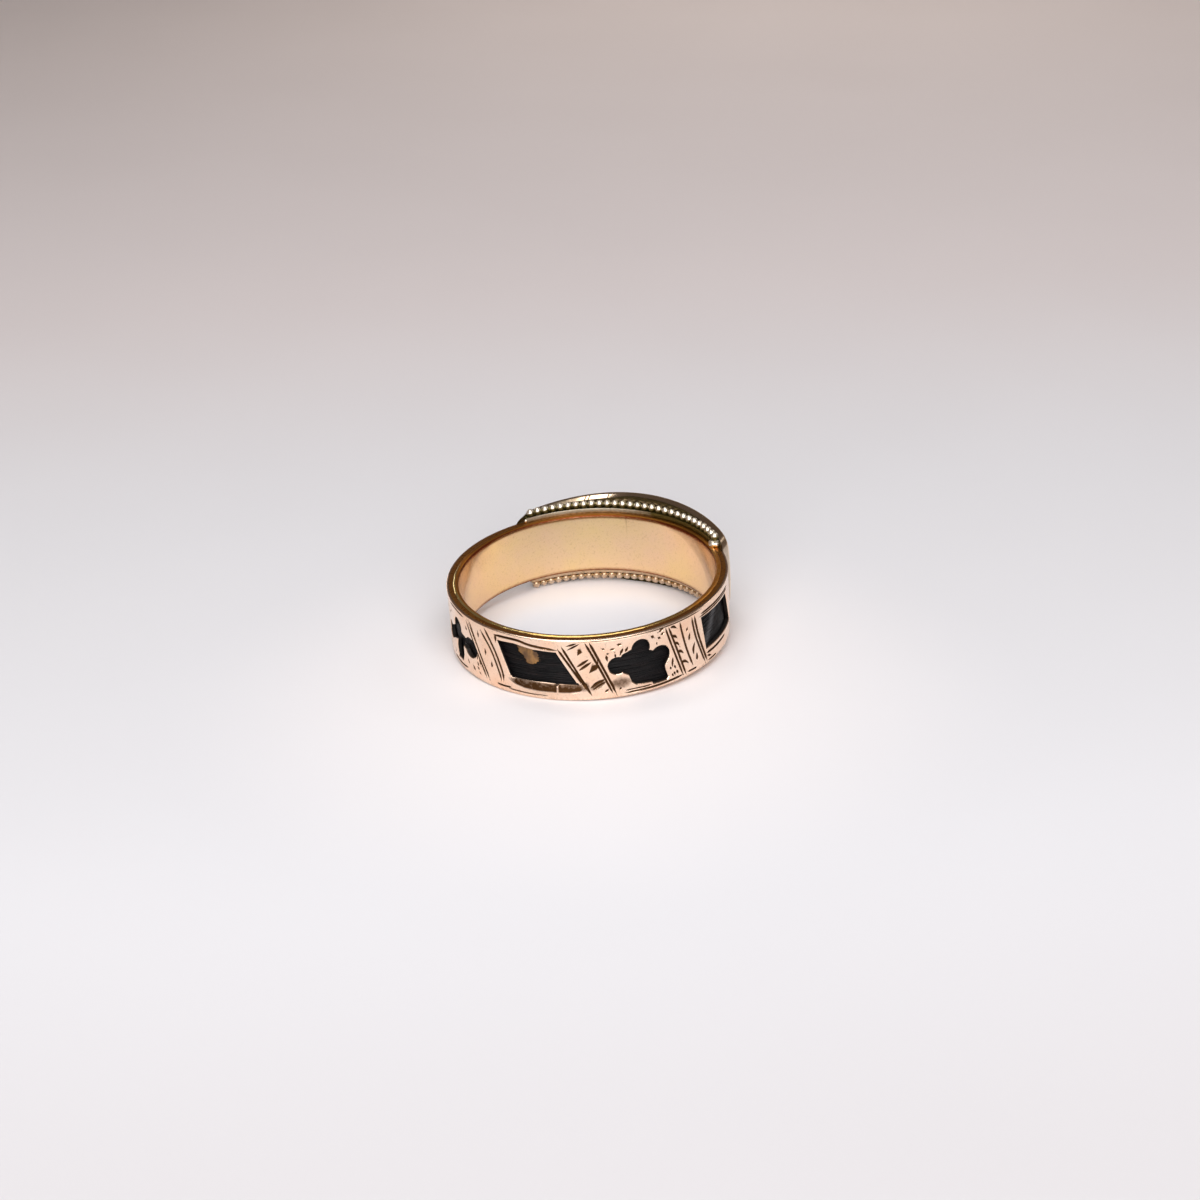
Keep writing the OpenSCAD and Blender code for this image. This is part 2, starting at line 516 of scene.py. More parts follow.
@dataclass(frozen=True)
class Finishes:
    """All the finishes of the ring."""

    band: GoldFinish = GoldFinish(
        "rose_gold", (0.96, 0.745, 0.585), (0.93, 0.62, 0.43), (0.08, 0.036, 0.013))
    head: GoldFinish = GoldFinish(
        "head_gold", (0.93, 0.74, 0.55), (0.9, 0.66, 0.45), (0.075, 0.058, 0.026),
        speck_share=0.12)
    # Gold lightened to cream so that the upper beads' highlights spread: a painted highlight colour
    beads: GoldFinish = GoldFinish(
        "bead_gold", (0.97, 0.9, 0.78), (0.95, 0.85, 0.68), (0.16, 0.13, 0.04),
        smooth=0.28, rough=0.38, scratch_depth=0.0004, wave_depth=0.001, speck_share=0.1)
    # Dimmer, pinker copy of the bead gold for the lower row: painted shade
    low_beads_shaded: GoldFinish = GoldFinish(
        "low_bead_gold", (0.96, 0.78, 0.62), (0.94, 0.7, 0.5), (0.3, 0.2, 0.09),
        smooth=0.28, rough=0.38, scratch_depth=0.0004, wave_depth=0.001)
    liner: GoldFinish = GoldFinish(
        "liner_gold", (0.86, 0.59, 0.37), (0.86, 0.62, 0.31), (0.2, 0.045, 0.012),
        smooth=0.12, rough=0.26, patch_per_mm=0.3)
    # Brighter, yellower copy of the liner's gold for the lip: a painted highlight colour
    lip: GoldFinish = GoldFinish(
        "lip_gold", (0.96, 0.78, 0.34), (0.93, 0.7, 0.26), (0.62, 0.24, 0.035))
    # Darker, redder copy of the band's gold for its flat top and bottom edges: painted dark reflection
    edge: GoldFinish = GoldFinish(
        "edge_gold", (0.8, 0.38, 0.1), (0.7, 0.28, 0.05), (0.38, 0.15, 0.02))
    # Near-black for the openings' sawn sides and the inner face of the wall
    grime: BackingFinish = BackingFinish("sawn_grime", (0.012, 0.007, 0.005), (0.004, 0.003, 0.002))
    backing: BackingFinish = BackingFinish("worn_backing")
    hair: HairFinish = HairFinish("dark_hair")

    def of_row(self, row: Row) -> GoldFinish:
        """The finish of a row of beads and its ledge."""
        return self.beads if row is Row.UPPER else self.low_beads_shaded


class Shell:
    """Points and faces of a closed surface, gathered in millimetres."""

    def __init__(self) -> None:
        """Starts empty."""
        self.mesh = bmesh.new()
        self.tarnish = self.mesh.verts.layers.float.new(TARNISH_AND_SHADE)

    def point(self, place: Sequence[float], tarnish: float = 0.0) -> Vertex:
        """Adds a point.

        Args:
            place: Where it is.
            tarnish: How dark the metal is there, from 0 to 1, by real tarnishing and painted shade.

        Returns:
            The new point.
        """
        vertex = self.mesh.verts.new(place)
        vertex[self.tarnish] = tarnish
        return vertex

    def face(self, corners: Sequence[Vertex], material: int = 0) -> None:
        """Adds a face.

        Args:
            corners: Its points in order.
            material: Place of its material on the piece.
        """
        made = self.mesh.faces.new(corners)
        made.smooth = True
        made.material_index = material

    def strip(self, first: Sequence[Vertex], second: Sequence[Vertex],
              closed: bool = False, material: int = 0) -> None:
        """Joins two rows of points with four-sided faces.

        Args:
            first: One row.
            second: The other row, as long as the first.
            closed: Whether the rows are rings.
            material: Place of the faces' material on the piece.
        """
        count = len(first)
        for i in range(count if closed else count - 1):
            j = (i + 1) % count
            self.face((first[i], first[j], second[j], second[i]), material)

    def finish(self, name: str, materials: Sequence[Material],
               sharp: float = 32.0) -> Piece:
        """Closes seams, turns faces outwards and makes the object, in metres.

        Args:
            name: Name of the piece.
            materials: Its materials.
            sharp: Edges bent by more than this many degrees stay sharp.

        Returns:
            The new object.
        """
        bmesh.ops.remove_doubles(self.mesh, verts=self.mesh.verts, dist=1e-4)
        bmesh.ops.dissolve_degenerate(self.mesh, edges=self.mesh.edges, dist=1e-5)
        bmesh.ops.recalc_face_normals(self.mesh, faces=self.mesh.faces)
        open_edges = sum(not edge.is_manifold for edge in self.mesh.edges)
        data = bpy.data.meshes.new(name)
        self.mesh.to_mesh(data)
        self.mesh.free()
        data.transform(Matrix.Scale(MM, 4))
        data.set_sharp_from_angle(angle=math.radians(sharp))
        for material in materials:
            data.materials.append(material)
        log.info("%s: %d faces, %d open edges", name, len(data.polygons), open_edges)
        return new_object(name, data)


def settle(piece: Piece, slot: Slot, *nodes: Node) -> Piece:
    """Lets a finished piece ride on the ring and hides the CAD nodes that it stands for.

    Args:
        piece: The piece.
        slot: Not used.
        nodes: CAD nodes that it stands for.

    Returns:
        The same piece.
    """
    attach(piece, BODY)
    if nodes:
        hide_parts(*[node.value for node in nodes])
    return piece


def resample(path: Path, step: float, closed: bool = False) -> list[Point]:
    """Puts points along straight stretches.

    Args:
        path: Corners.
        step: Longest distance between points.
        closed: Whether the last corner joins the first.

    Returns:
        The corners with points between them.
    """
    out = []
    ends = list(path[1:]) + ([path[0]] if closed else [])
    for start, end in zip(path, ends):
        count = max(1, math.ceil(math.dist(start, end) / step))
        for i in range(count):
            share = i / count
            out.append((start[0] + (end[0] - start[0]) * share,
                        start[1] + (end[1] - start[1]) * share))
    if not closed:
        out.append(tuple(path[-1]))
    return out


def smooth_path(path: Path, step: float) -> list[Point]:
    """Runs a smooth line through points.

    Args:
        path: Points to pass.
        step: Distance between the new points.

    Returns:
        Points along the line.
    """
    if len(path) < 3:
        return resample(path, step)
    rows = [path[0], *path, path[-1]]
    out = []
    for a, b, c, d in zip(rows, rows[1:], rows[2:], rows[3:]):
        count = max(2, math.ceil(math.dist(b, c) / step))
        for i in range(count):
            t = i / count
            out.append(tuple(
                0.5 * (2 * q + (r - p) * t + (2 * p - 5 * q + 4 * r - s) * t * t
                       + (3 * q - p - 3 * r + s) * t ** 3)
                for p, q, r, s in zip(a, b, c, d)))
    out.append(tuple(path[-1]))
    return out


def grow(outline: Path, margin: float) -> list[Point]:
    """Moves an outline outwards.

    Args:
        outline: Corners in order.
        margin: Distance to move.

    Returns:
        The moved corners.
    """
    area = sum(a[0] * b[1] - b[0] * a[1] for a, b in zip(outline, [*outline[1:], outline[0]]))
    side = 1 if area > 0 else -1
    moved = []
    for before, here, after in zip([outline[-1], *outline[:-1]], outline, [*outline[1:], outline[0]]):
        first = Vector((here[0] - before[0], here[1] - before[1])).normalized()
        second = Vector((after[0] - here[0], after[1] - here[1])).normalized()
        normal = Vector((first.y + second.y, -first.x - second.x)) * side
        length = max(normal.length_squared / 2, 0.35)
        moved.append((here[0] + normal.x * margin / length, here[1] + normal.y * margin / length))
    return moved


def inside(outline: Array, points: Array) -> Array:
    """Says which points lie in an outline.

    Args:
        outline: Corners, one a row.
        points: Points, one a row.

    Returns:
        True for each point that is inside.
    """
    found = np.zeros(len(points), bool)
    for (ax, ay), (bx, by) in zip(outline, np.roll(outline, -1, 0)):
        if ay == by:
            continue
        crosses = (points[:, 1] > min(ay, by)) & (points[:, 1] <= max(ay, by))
        reach = ax + (points[:, 1] - ay) / (by - ay) * (bx - ax)
        found ^= crosses & (points[:, 0] < reach)
    return found


def to_segment(points: Array, start: Array, end: Array) -> Arrays:
    """Measures from points to a straight stretch.

    Args:
        points: Points, one a row.
        start: One end.
        end: The other end.

    Returns:
        Each point's distance, and how far along the stretch its nearest place is.
    """
    along = end - start
    share = np.clip((points - start) @ along / max(along @ along, 1e-12), 0, 1)
    return np.linalg.norm(points - start - share[:, None] * along, axis=1), share


@dataclass(frozen=True)
class Stroke:
    """One cut of the graver, through points of az in degrees and height in millimetres."""

    path: tuple[Point, ...]
    width: float = 0.1
    cut: Cut = Cut.LINE
    depth: float = 0.06
    tone: float = 0.55

    def swell(self, share: float) -> float:
        """Gives the cut's half width at a share of its length."""
        half = self.width * FLARE / 2
        if self.cut is Cut.LINE:
            return half * min(1.0, 0.25 + share / 0.1, 0.15 + (1 - share) / 0.12)
        if self.cut is Cut.DAGGER:
            return half * 1.1 * min(1.0, 0.3 + share / 0.25) * (1 - share) ** 0.6
        if self.cut is Cut.LEAF:
            return half * (math.sin(math.pi * share) ** 0.8 + 0.05)
        return half * (1 - share)

    def trace(self, radius: float) -> Arrays:
        """Lays the cut out flat.

        Args:
            radius: Radius of the wall, in millimetres.

        Returns:
            Points along its middle, and its half width at each.
        """
        flat = [(math.radians(az) * radius, z) for az, z in self.path]
        middle = np.array(smooth_path(flat, 0.13))
        steps = np.linalg.norm(np.diff(middle, axis=0), axis=1)
        shares = np.concatenate([[0], np.cumsum(steps)]) / steps.sum()
        return middle, np.array([max(self.swell(share), 0.004) for share in shares])


@dataclass(frozen=True)
class Opening:
    """An opening sawn square through a wall: outlines that may lap, seen from its middle."""

    middle: float
    outlines: tuple[tuple[Point, ...], ...]

    def turned(self, x: float, radius: float) -> float:
        """Gives the az at which a flat x meets a radius."""
        return self.middle + math.degrees(math.asin(x / radius))

    def spread(self, radius: float, scale_r: float, margin: float = 0.0) -> list[list[Point]]:
        """Lays the outlines out flat on a radius.

        Args:
            radius: Radius at which the saw meets the wall.
            scale_r: Radius that turns an az into a flat distance.
            margin: How much larger each outline is.

        Returns:
            The outlines with closely spaced points.
        """
        laid = []
        for outline in self.outlines:
            shape = grow(outline, margin) if margin else list(outline)
            laid.append([(math.radians(self.turned(x, radius)) * scale_r, z)
                         for x, z in resample(shape, 0.11, closed=True)])
        return laid


@dataclass
class OpeningMaker:
    """Makes the openings from the source's tables, whose heights are shares of the width."""

    radius: float
    width: float

    def seen(self, point: Point, middle: float) -> Point:
        """Gives a point of a table as seen square on from the opening's middle."""
        return self.radius * math.sin(math.radians(point[0] - middle)), point[1] * self.width

    def window(self, corners: Path) -> Opening:
        """Makes a slanted window or a patch from its corners."""
        return self.club((), corners)

    def club(self, lobes: Sequence[Triple], body: Path) -> Opening:
        """Makes a club from its three lobes and the outline of its body.

        Args:
            lobes: Az, height share and radius share of each lobe.
            body: Corners of the body and stem.

        Returns:
            The opening.
        """
        middle = (max(az for az, _ in body) + min(az for az, _ in body)) / 2
        turns = [math.radians(angle) for angle in range(0, 360, 9)]
        outlines = []
        for az, height, size in lobes:
            x, z = self.seen((az, height), middle)
            radius = size * self.width
            outlines.append(tuple((x + radius * math.cos(turn), z + radius * math.sin(turn))
                                  for turn in turns))
        outlines.append(tuple(self.seen(point, middle) for point in body))
        return Opening(middle, tuple(outlines))


class FlatSheet:
    """A wall laid out flat, cut into triangles along every line drawn on it."""

    def __init__(self, half_len: float, half_wide: float, edge_steps: int) -> None:
        """Draws the sheet's border.

        Args:
            half_len: Half of its length.
            half_wide: Half of its width.
            edge_steps: Number of steps along each long edge.
        """
        self.half_len = half_len
        self.half_wide = half_wide
        self.points: list[Point] = []
        self.lines: list[Place] = []
        places = [half_len * (2 * i / edge_steps - 1) for i in range(edge_steps + 1)]
        border = [(x, -half_wide) for x in places] + [(x, half_wide) for x in reversed(places)]
        self.draw(border, closed=True)

    def draw(self, path: Path, closed: bool = False) -> list[int]:
        """Draws a line that triangles may not cross.

        Args:
            path: Points of the line.
            closed: Whether it is a ring.

        Returns:
            Places of its points in the sheet's list.
        """
        start = len(self.points)
        self.points.extend(path)
        marks = list(range(start, len(self.points)))
        self.lines.extend(zip(marks, marks[1:]))
        if closed:
            self.lines.append((marks[-1], marks[0]))
        return marks

    def dot(self, step_len: float, step_wide: float) -> None:
        """Strews loose points evenly over the sheet.

        Args:
            step_len: Distance between them along the sheet.
            step_wide: Distance between them across it.
        """
        columns = round(2 * self.half_len / step_len)
        rows = round(2 * self.half_wide / step_wide)
        for i in range(1, columns):
            for j in range(1, rows):
                shift = 0.5 if j % 2 else 0.0
                x = self.half_len * (2 * (i + shift) / columns - 1)
                if x < self.half_len:
                    self.points.append((x, self.half_wide * (2 * j / rows - 1)))

    def triangles(self) -> tuple[Array, Array, dict[int, int]]:
        """Cuts the sheet.

        Returns:
            Its points, its triangles as rows of three, and the new place of each point that
            was drawn.
        """
        cut = delaunay_2d_cdt([Vector(p) for p in self.points], self.lines, [], 0, 1e-6, True)
        points = np.array([tuple(p) for p in cut[0]])
        faces = np.array([tuple(face) for face in cut[2] if len(face) == 3])
        places = {old: new for new, olds in enumerate(cut[3]) for old in olds}
        return points, faces, places


def near_to(flat: Array, shape: Array, margin: float) -> Array:
    """Finds the places of the points in a box that is a margin larger than a shape."""
    low, high = shape.min(0) - margin, shape.max(0) + margin
    return np.flatnonzero(((flat > low) & (flat < high)).all(1))


@dataclass
class PiercedSleeve:
    """A round wall with openings: its outer and inner faces and the openings' sides."""

    outer_r: float
    inner_r: float
    outer_half: float
    inner_half: float
    openings: Sequence[Opening]
    strokes: Sequence[Stroke] = ()
    relief: Callable[[Array, Array], Arrays] | None = None
    extra_lines: Sequence[Path] = ()
    bevel: float = 0.0
    bright_slope: float = 0.25
    dark_fade: float = 0.3
    inner_tone: float = 0.6
    edge_steps: int = 720
    grid: float = 0.17
    materials: tuple[int, int, int] = (0, 0, 0)

    def grooves(self, flat: Array) -> Arrays:
        """Works out how deep and dark the graver's cuts are at points.

        Args:
            flat: Points of the sheet, one a row.

        Returns:
            Depth in millimetres and darkness from 0 to 1 at each point.
        """
        depth = np.zeros(len(flat))
        tone = np.zeros(len(flat))
        for stroke in self.strokes:
            middle, halves = stroke.trace(self.outer_r)
            near = near_to(flat, middle, stroke.width * FLARE)
            for a, b, half_a, half_b in zip(middle, middle[1:], halves, halves[1:]):
                away, share = to_segment(flat[near], a, b)
                half = half_a + (half_b - half_a) * share
                level = np.clip(1 - away / half, 0, 1)
                down = stroke.depth * level * np.minimum(1, 2 * half / (stroke.width * FLARE))
                dark = stroke.tone * np.clip((level - self.bright_slope) / self.dark_fade, 0, 1)
                depth[near] = np.maximum(depth[near], down)
                tone[near] = np.maximum(tone[near], dark)
        return depth, tone

    def rim_share(self, flat: Array) -> Array:
        """Says how near points are to an opening, from 1 on its rim to 0 a bevel away."""
        share = np.zeros(len(flat))
        for opening in self.openings:
            outlines = [np.array(o) for o in opening.spread(self.outer_r, self.outer_r)]
            near = near_to(flat, np.concatenate(outlines), self.bevel)
            for outline in outlines:
                for a, b in zip(outline, np.roll(outline, -1, 0)):
                    away, _ = to_segment(flat[near], a, b)
                    share[near] = np.maximum(share[near], np.clip(1 - away / self.bevel, 0, 1))
        return share

    def cut_away(self, faces: Array, points: Array, radius: float) -> Array:
        """Leaves out the triangles that lie in an opening.

        Args:
            faces: Triangles.
            points: Points of the sheet.
            radius: Radius at which the saw meets this face.

        Returns:
            The triangles that stay.
        """
        middles = points[faces].mean(1)
        gone = np.zeros(len(faces), bool)
        for opening in self.openings:
            for outline in opening.spread(radius, self.outer_r):
                gone |= inside(np.array(outline), middles)
        return faces[~gone]

    def build(self, shell: Shell) -> None:
        """Adds the wall's faces to a shell.

        Args:
            shell: Shell to add to. The long edges of both faces are left open for it.
        """
        half_len = math.pi * self.outer_r
        sheet = FlatSheet(half_len, self.outer_half, self.edge_steps)
        for opening in self.openings:
            for margin in (0.0, self.bevel) if self.bevel else (0.0,):
                for outline in opening.spread(self.outer_r, self.outer_r, margin):
                    sheet.draw(outline, closed=True)
        for stroke in self.strokes:
            middle, halves = stroke.trace(self.outer_r)
            ahead = np.gradient(middle, axis=0)
            ahead /= np.linalg.norm(ahead, axis=1)[:, None]
            aside = np.stack([-ahead[:, 1], ahead[:, 0]], 1) * halves[:, None]
            for share in (0.0, -0.5, 0.5, -1.0, 1.0):
                sheet.draw([tuple(p) for p in middle + share * aside])
        for line in self.extra_lines:
            sheet.draw([(math.radians(az) * self.outer_r, z) for az, z in line])
        sheet.dot(self.grid, self.grid * 1.3)
        points, faces, _ = sheet.triangles()
        faces = self.cut_away(faces, points, self.outer_r)
        az = np.degrees(points[:, 0] / self.outer_r)
        depth, tone = self.grooves(points)
        if self.relief:
            extra, dark = self.relief(az, points[:, 1])
            depth = depth + extra
            tone = np.maximum(tone, dark)
        if self.bevel:
            depth = np.maximum(depth, depth + self.bevel * self.rim_share(points))
        edge = np.abs(points[:, 1]) > self.outer_half - 1e-5
        depth[edge] = 0
        used = sorted(set(faces.ravel()))
        outer = {i: shell.point(around(self.outer_r - depth[i], az[i], points[i, 1]), tone[i])
                 for i in used}
        for a, b, c in faces:
            shell.face((outer[a], outer[b], outer[c]), self.materials[0])
        self.build_inside(shell, points, faces, outer)

    def build_inside(self, shell: Shell, points: Array, faces: Array,
                     outer: dict[int, Vertex]) -> None:
        """Adds the inner face and the openings' sides.

        Args:
            shell: Shell to add to.
            points: Points of the outer sheet.
            faces: Triangles of the outer face.
            outer: The shell's point for each of the outer sheet's.
        """
        sides: dict[Place, int] = {}
        for face in faces:
            for a, b in zip(face, np.roll(face, -1)):
                key = (min(a, b), max(a, b))
                sides[key] = sides.get(key, 0) + 1
        half_len = math.pi * self.outer_r
        near_edge = (np.abs(points[:, 1]) > self.outer_half - 1e-5) | (
            np.abs(points[:, 0]) > half_len - 1e-5)
        rims = [key for key, count in sides.items()
                if count == 1 and not (near_edge[key[0]] and near_edge[key[1]])]
        sheet = FlatSheet(half_len, self.inner_half, self.edge_steps)
        marks = {}
        for i in sorted({i for key in rims for i in key}):
            marks[i] = len(sheet.points)
            sheet.points.append(self.sawn_through(points[i]))
        sheet.lines.extend((marks[a], marks[b]) for a, b in rims)
        sheet.dot(3 * self.grid, 3 * self.grid)
        flat, inner_faces, places = sheet.triangles()
        inner_faces = self.cut_away(inner_faces, flat, self.inner_r)
        inner = {i: shell.point(around(self.inner_r, math.degrees(flat[i, 0] / self.outer_r),
                                       flat[i, 1]), self.inner_tone)
                 for i in sorted(set(inner_faces.ravel()))}
        for a, b, c in inner_faces:
            shell.face((inner[c], inner[b], inner[a]), self.materials[1])
        for a, b in rims:
            c = places[marks[b]]
            d = places[marks[a]]
            if c in inner and d in inner and c != d:
                shell.face((outer[a], outer[b], inner[c], inner[d]), self.materials[2])

    def sawn_through(self, point: Array) -> Point:
        """Gives where a point of an opening's outer rim comes out on the inner face."""
        az = math.degrees(point[0] / self.outer_r)
        opening = min(self.openings, key=lambda opening: abs(opening.middle - az))
        x = self.outer_r * math.sin(math.radians(az - opening.middle))
        return math.radians(opening.turned(x, self.inner_r)) * self.outer_r, point[1]


def turn_profile(shell: Shell, profile: Path, skipped: Sequence[int] = (),
                 steps: int = 720, tarnish: OnRing | None = None,
                 materials: Sequence[int] | None = None, wave: OnRing | None = None) -> None:
    """Turns a closed profile round the finger.

    Args:
        shell: Shell to add to.
        profile: Corners as radius and height.
        skipped: Sides of the profile, by the place of their first corner, to leave open.
        steps: Number of steps round the finger.
        tarnish: Gives the darkness, real tarnishing and painted shade, at a radius, az and height.
        materials: Material's place for each side.
        wave: Gives a change of radius at a radius, az and height.
    """
    rows = []
    for radius, height in profile:
        row = []
        for i in range(steps):
            az = 360 * i / steps - 180
            bent = radius + (wave(radius, az, height) if wave else 0.0)
            dark = tarnish(radius, az, height) if tarnish else 0.0
            row.append(shell.point(around(bent, az, height), dark))
        rows.append(row)
    for i, row in enumerate(rows):
        if i not in skipped:
            shell.strip(row, rows[(i + 1) % len(rows)], True, materials[i] if materials else 0)


def rounding(centre: Point, reach: Point, start: float, steps: int = 6) -> list[Point]:
    """Gives a quarter of an ellipse, by its middle, half widths and start in degrees."""
    turns = [math.radians(start + 90 * i / steps) for i in range(steps + 1)]
    return [(centre[0] + reach[0] * math.cos(turn), centre[1] + reach[1] * math.sin(turn))
            for turn in turns]


def waviness(place: Vector, feature: float, seed: float = 0.0) -> float:
    """Gives smooth noise from 0 to 1 at a place, with features of a size in millimetres."""
    return 0.5 + 0.5 * noise.noise(place / feature + Vector((seed, seed, seed)))


@dataclass
class LinerSleeve:
    """The plain sleeve round the finger, with a domed lip burnished out over each edge."""

    sizes: RingSizes
    finishes: Finishes
    steps: int = 480
    outside_rows: int = 17
    outside_step: float = 0.12
    lip_rows: int = 13
    bore_rows: int = 6
    lip_dome: float = 0.055
    lip_squareness: float = 3.0
    lip_burr: float = 0.05
    flare: Point = (0.08, 0.3)
    hammer_depth: float = 0.012
    hammer_fade: float = 0.8
    backing_rise: float = 0.2
    backing_az: Point = (-4.5, 9.5)
    backing_z: Point = (-0.3, 2.6)
    seam_az: float = 175.4
    seam_half: float = 0.5
    seam_rise: float = 0.018
    seam_tone: float = 0.16
    # Painted shade and painted reflection near the bore's edges, stronger on the far side
    edge_fade: float = 0.45
    bore_edge_shade: float = 0.22
    far_bore_edge_shade: float = 0.3
    # Two painted dark reflections of the band's edge on the bore, each a path of height and az, with
    # their strength and soft edge
    right_reflection: tuple[Point, ...] = ((-0.99, -134.3), (-0.49, -136.1), (0.23, -140.6),
                                      (0.82, -146.2), (1.33, -152.6), (1.8, -160.8), (2.11, -169.4))
    left_reflection: tuple[Point, ...] = ((0.37, 79.5), (0.86, 86.1), (1.34, 94.1), (1.7, 101.2),
                                     (1.99, 110.0))
    reflection_tone: float = 0.13
    reflection_soft: float = 5.0
    # Painted shade on the underside, darkness of the outside under the hair, and painted shade and
    # painted reflection on the lip at the front, right, left and far sides
    underside_shade: float = 0.3
    outside_tone: float = 0.6
    lip_front_shade: float = 0.18
    lip_right_shade: float = 0.34
    lip_left_shade: float = 0.3
    lip_far_shade: float = 0.66

    def upper_half(self) -> tuple[list[Point], list[int]]:
        """Lists the upper half's profile from the outside's middle to the bore's.

        Returns:
            The corners, and the material's place of the side after each.
        """
        s = self.sizes
        lip_r = s.liner_r + s.lip_w
        inner_r = s.bore_r + self.flare[0]
        outside = [(s.liner_r, self.outside_step * i) for i in range(self.outside_rows)]
        outside.append((s.liner_r, s.half_w - s.lip_t))
        lip = [(lip_r, s.half_w - s.lip_t)]
        for i in range(self.lip_rows):
            across = 1 - 2 * i / (self.lip_rows - 1)
            radius = (lip_r + inner_r) / 2 + (lip_r - inner_r) / 2 * across
            lip.append((radius, s.half_w - self.lip_dome * abs(across) ** self.lip_squareness))
        low = s.half_w - self.lip_dome - self.flare[1]
        bore = rounding((inner_r, low), self.flare, 90)[1:]
        bore += [(s.bore_r, low * (1 - i / self.bore_rows)) for i in range(1, self.bore_rows)]
        kinds = [1] * self.outside_rows + [0] + [2] * self.lip_rows + [0] * (len(bore) + 1)
        return outside + lip + bore, kinds

    def build(self) -> Piece:
        """Makes the sleeve.

        Returns:
            The finished piece.
        """
        upper, kinds = self.upper_half()
        lower = [(radius, -height) for radius, height in reversed(upper)]
        profile = upper + [(self.sizes.bore_r, 0.0)] + lower[:-1]
        kinds = (kinds + kinds[::-1])[:len(profile)]
        shell = Shell()
        turn_profile(shell, profile, (), self.steps, self.darkened, kinds, self.uneven)
        coats = (self.finishes.liner, self.finishes.backing, self.finishes.lip)
        piece = shell.finish("liner_sleeve_gold", [coat.material() for coat in coats])
        return settle(piece, Slot.LINER, Node.LINER)

    def uneven(self, radius: float, az: float, height: float) -> float:
        """Works out the bore's shallow waves and seam, the lump of backing and the lip's burrs.

        Args:
            radius: Radius of the plain shape.
            az: Az in degrees.
            height: Height.

        Returns:
            The change of radius.
        """
        s = self.sizes
        if radius < s.bore_r + TOUCH:
            waves = self.hammer_depth * waviness(around(radius, az, height), 2.2, 3.0)
            fade = clamp((s.half_w - abs(height)) / self.hammer_fade)
            return fade * (waves + self.seam_rise * self.on_seam(az, height))
        if abs(radius - s.liner_r) < TOUCH and abs(height) < s.half_w - s.lip_t - TOUCH:
            rise = 1.0
            for value, (low, high), soft in ((az, self.backing_az, 1.0), (height, self.backing_z, 0.1)):
                rise *= clamp(min(value - low, high - value) / soft)
            return self.backing_rise * rise * (0.8 + 0.4 * waviness(around(9, az, height), 0.35))
        if height > s.half_w - self.lip_dome - TOUCH and radius > s.bore_r + 0.15:
            return self.lip_burr * (waviness(around(radius, az, 0), 0.4, 8.0) - 0.5)
        return 0.0

    def on_seam(self, az: float, height: float) -> float:
        """Gives how strongly the sleeve's soldered seam shows, which fades downwards."""
        near = max(0.0, 1 - abs(az - self.seam_az) / self.seam_half)
        return near * clamp((height + 0.2) / 1.6)

    def painted_reflections(self, az: float, height: float) -> float:
        """Gives the strength of the two painted dark reflections of the band's edge, which rise towards
        the bore's upper edge.
        """
        right, left = (np.interp(height, *zip(*edge)) for edge in (self.right_reflection, self.left_reflection))
        on_right = clamp((az - right) / self.reflection_soft) * clamp((-100 - az) / 15)
        on_left = clamp((left - az) / self.reflection_soft) * clamp((az - 60) / 10)
        return on_right + on_left

    def darkened(self, radius: float, az: float, height: float) -> float:
        """Gives the darkness of the soldered seam, the painted reflections, the hidden sides, the painted
        shade on the underside, and the painted shade and painted reflection near the bore's edges and on
        the lip, which change with the side round the ring.
        """
        s = self.sizes
        turned = from_front(az)
        far = clamp((abs(turned) - 95) / 25)
        if radius < s.bore_r + self.flare[0] - 0.001:
            # Painted shade and painted reflection near the bore's edges, stronger on the far side, on top
            # of the seam and the painted reflections
            near_edge = max(0.0, 1 - (s.half_w - abs(height)) / self.edge_fade)
            spots = self.seam_tone * self.on_seam(az, height) + self.reflection_tone * self.painted_reflections(az, height)
            return spots + (self.bore_edge_shade + self.far_bore_edge_shade * far) * near_edge ** 1.5
        if height < 0:
            return self.underside_shade
        if height < s.half_w - self.lip_dome - 0.01:
            return self.outside_tone
        # Painted shade and painted reflection on the upper lip, by its side round the ring
        right = clamp((-turned - 25) / 25)
        left = clamp((turned - 25) / 25)
        inner = clamp((s.bore_r + 0.26 - radius) / 0.05)
        near_tone = max(self.lip_front_shade * (1 - far) * (1 - left), self.lip_right_shade * right * (1 - far),
                        self.lip_left_shade * (1 + left) * left * inner * (1 - far))
        return max(near_tone, far * (self.lip_far_shade + 0.18 * inner))


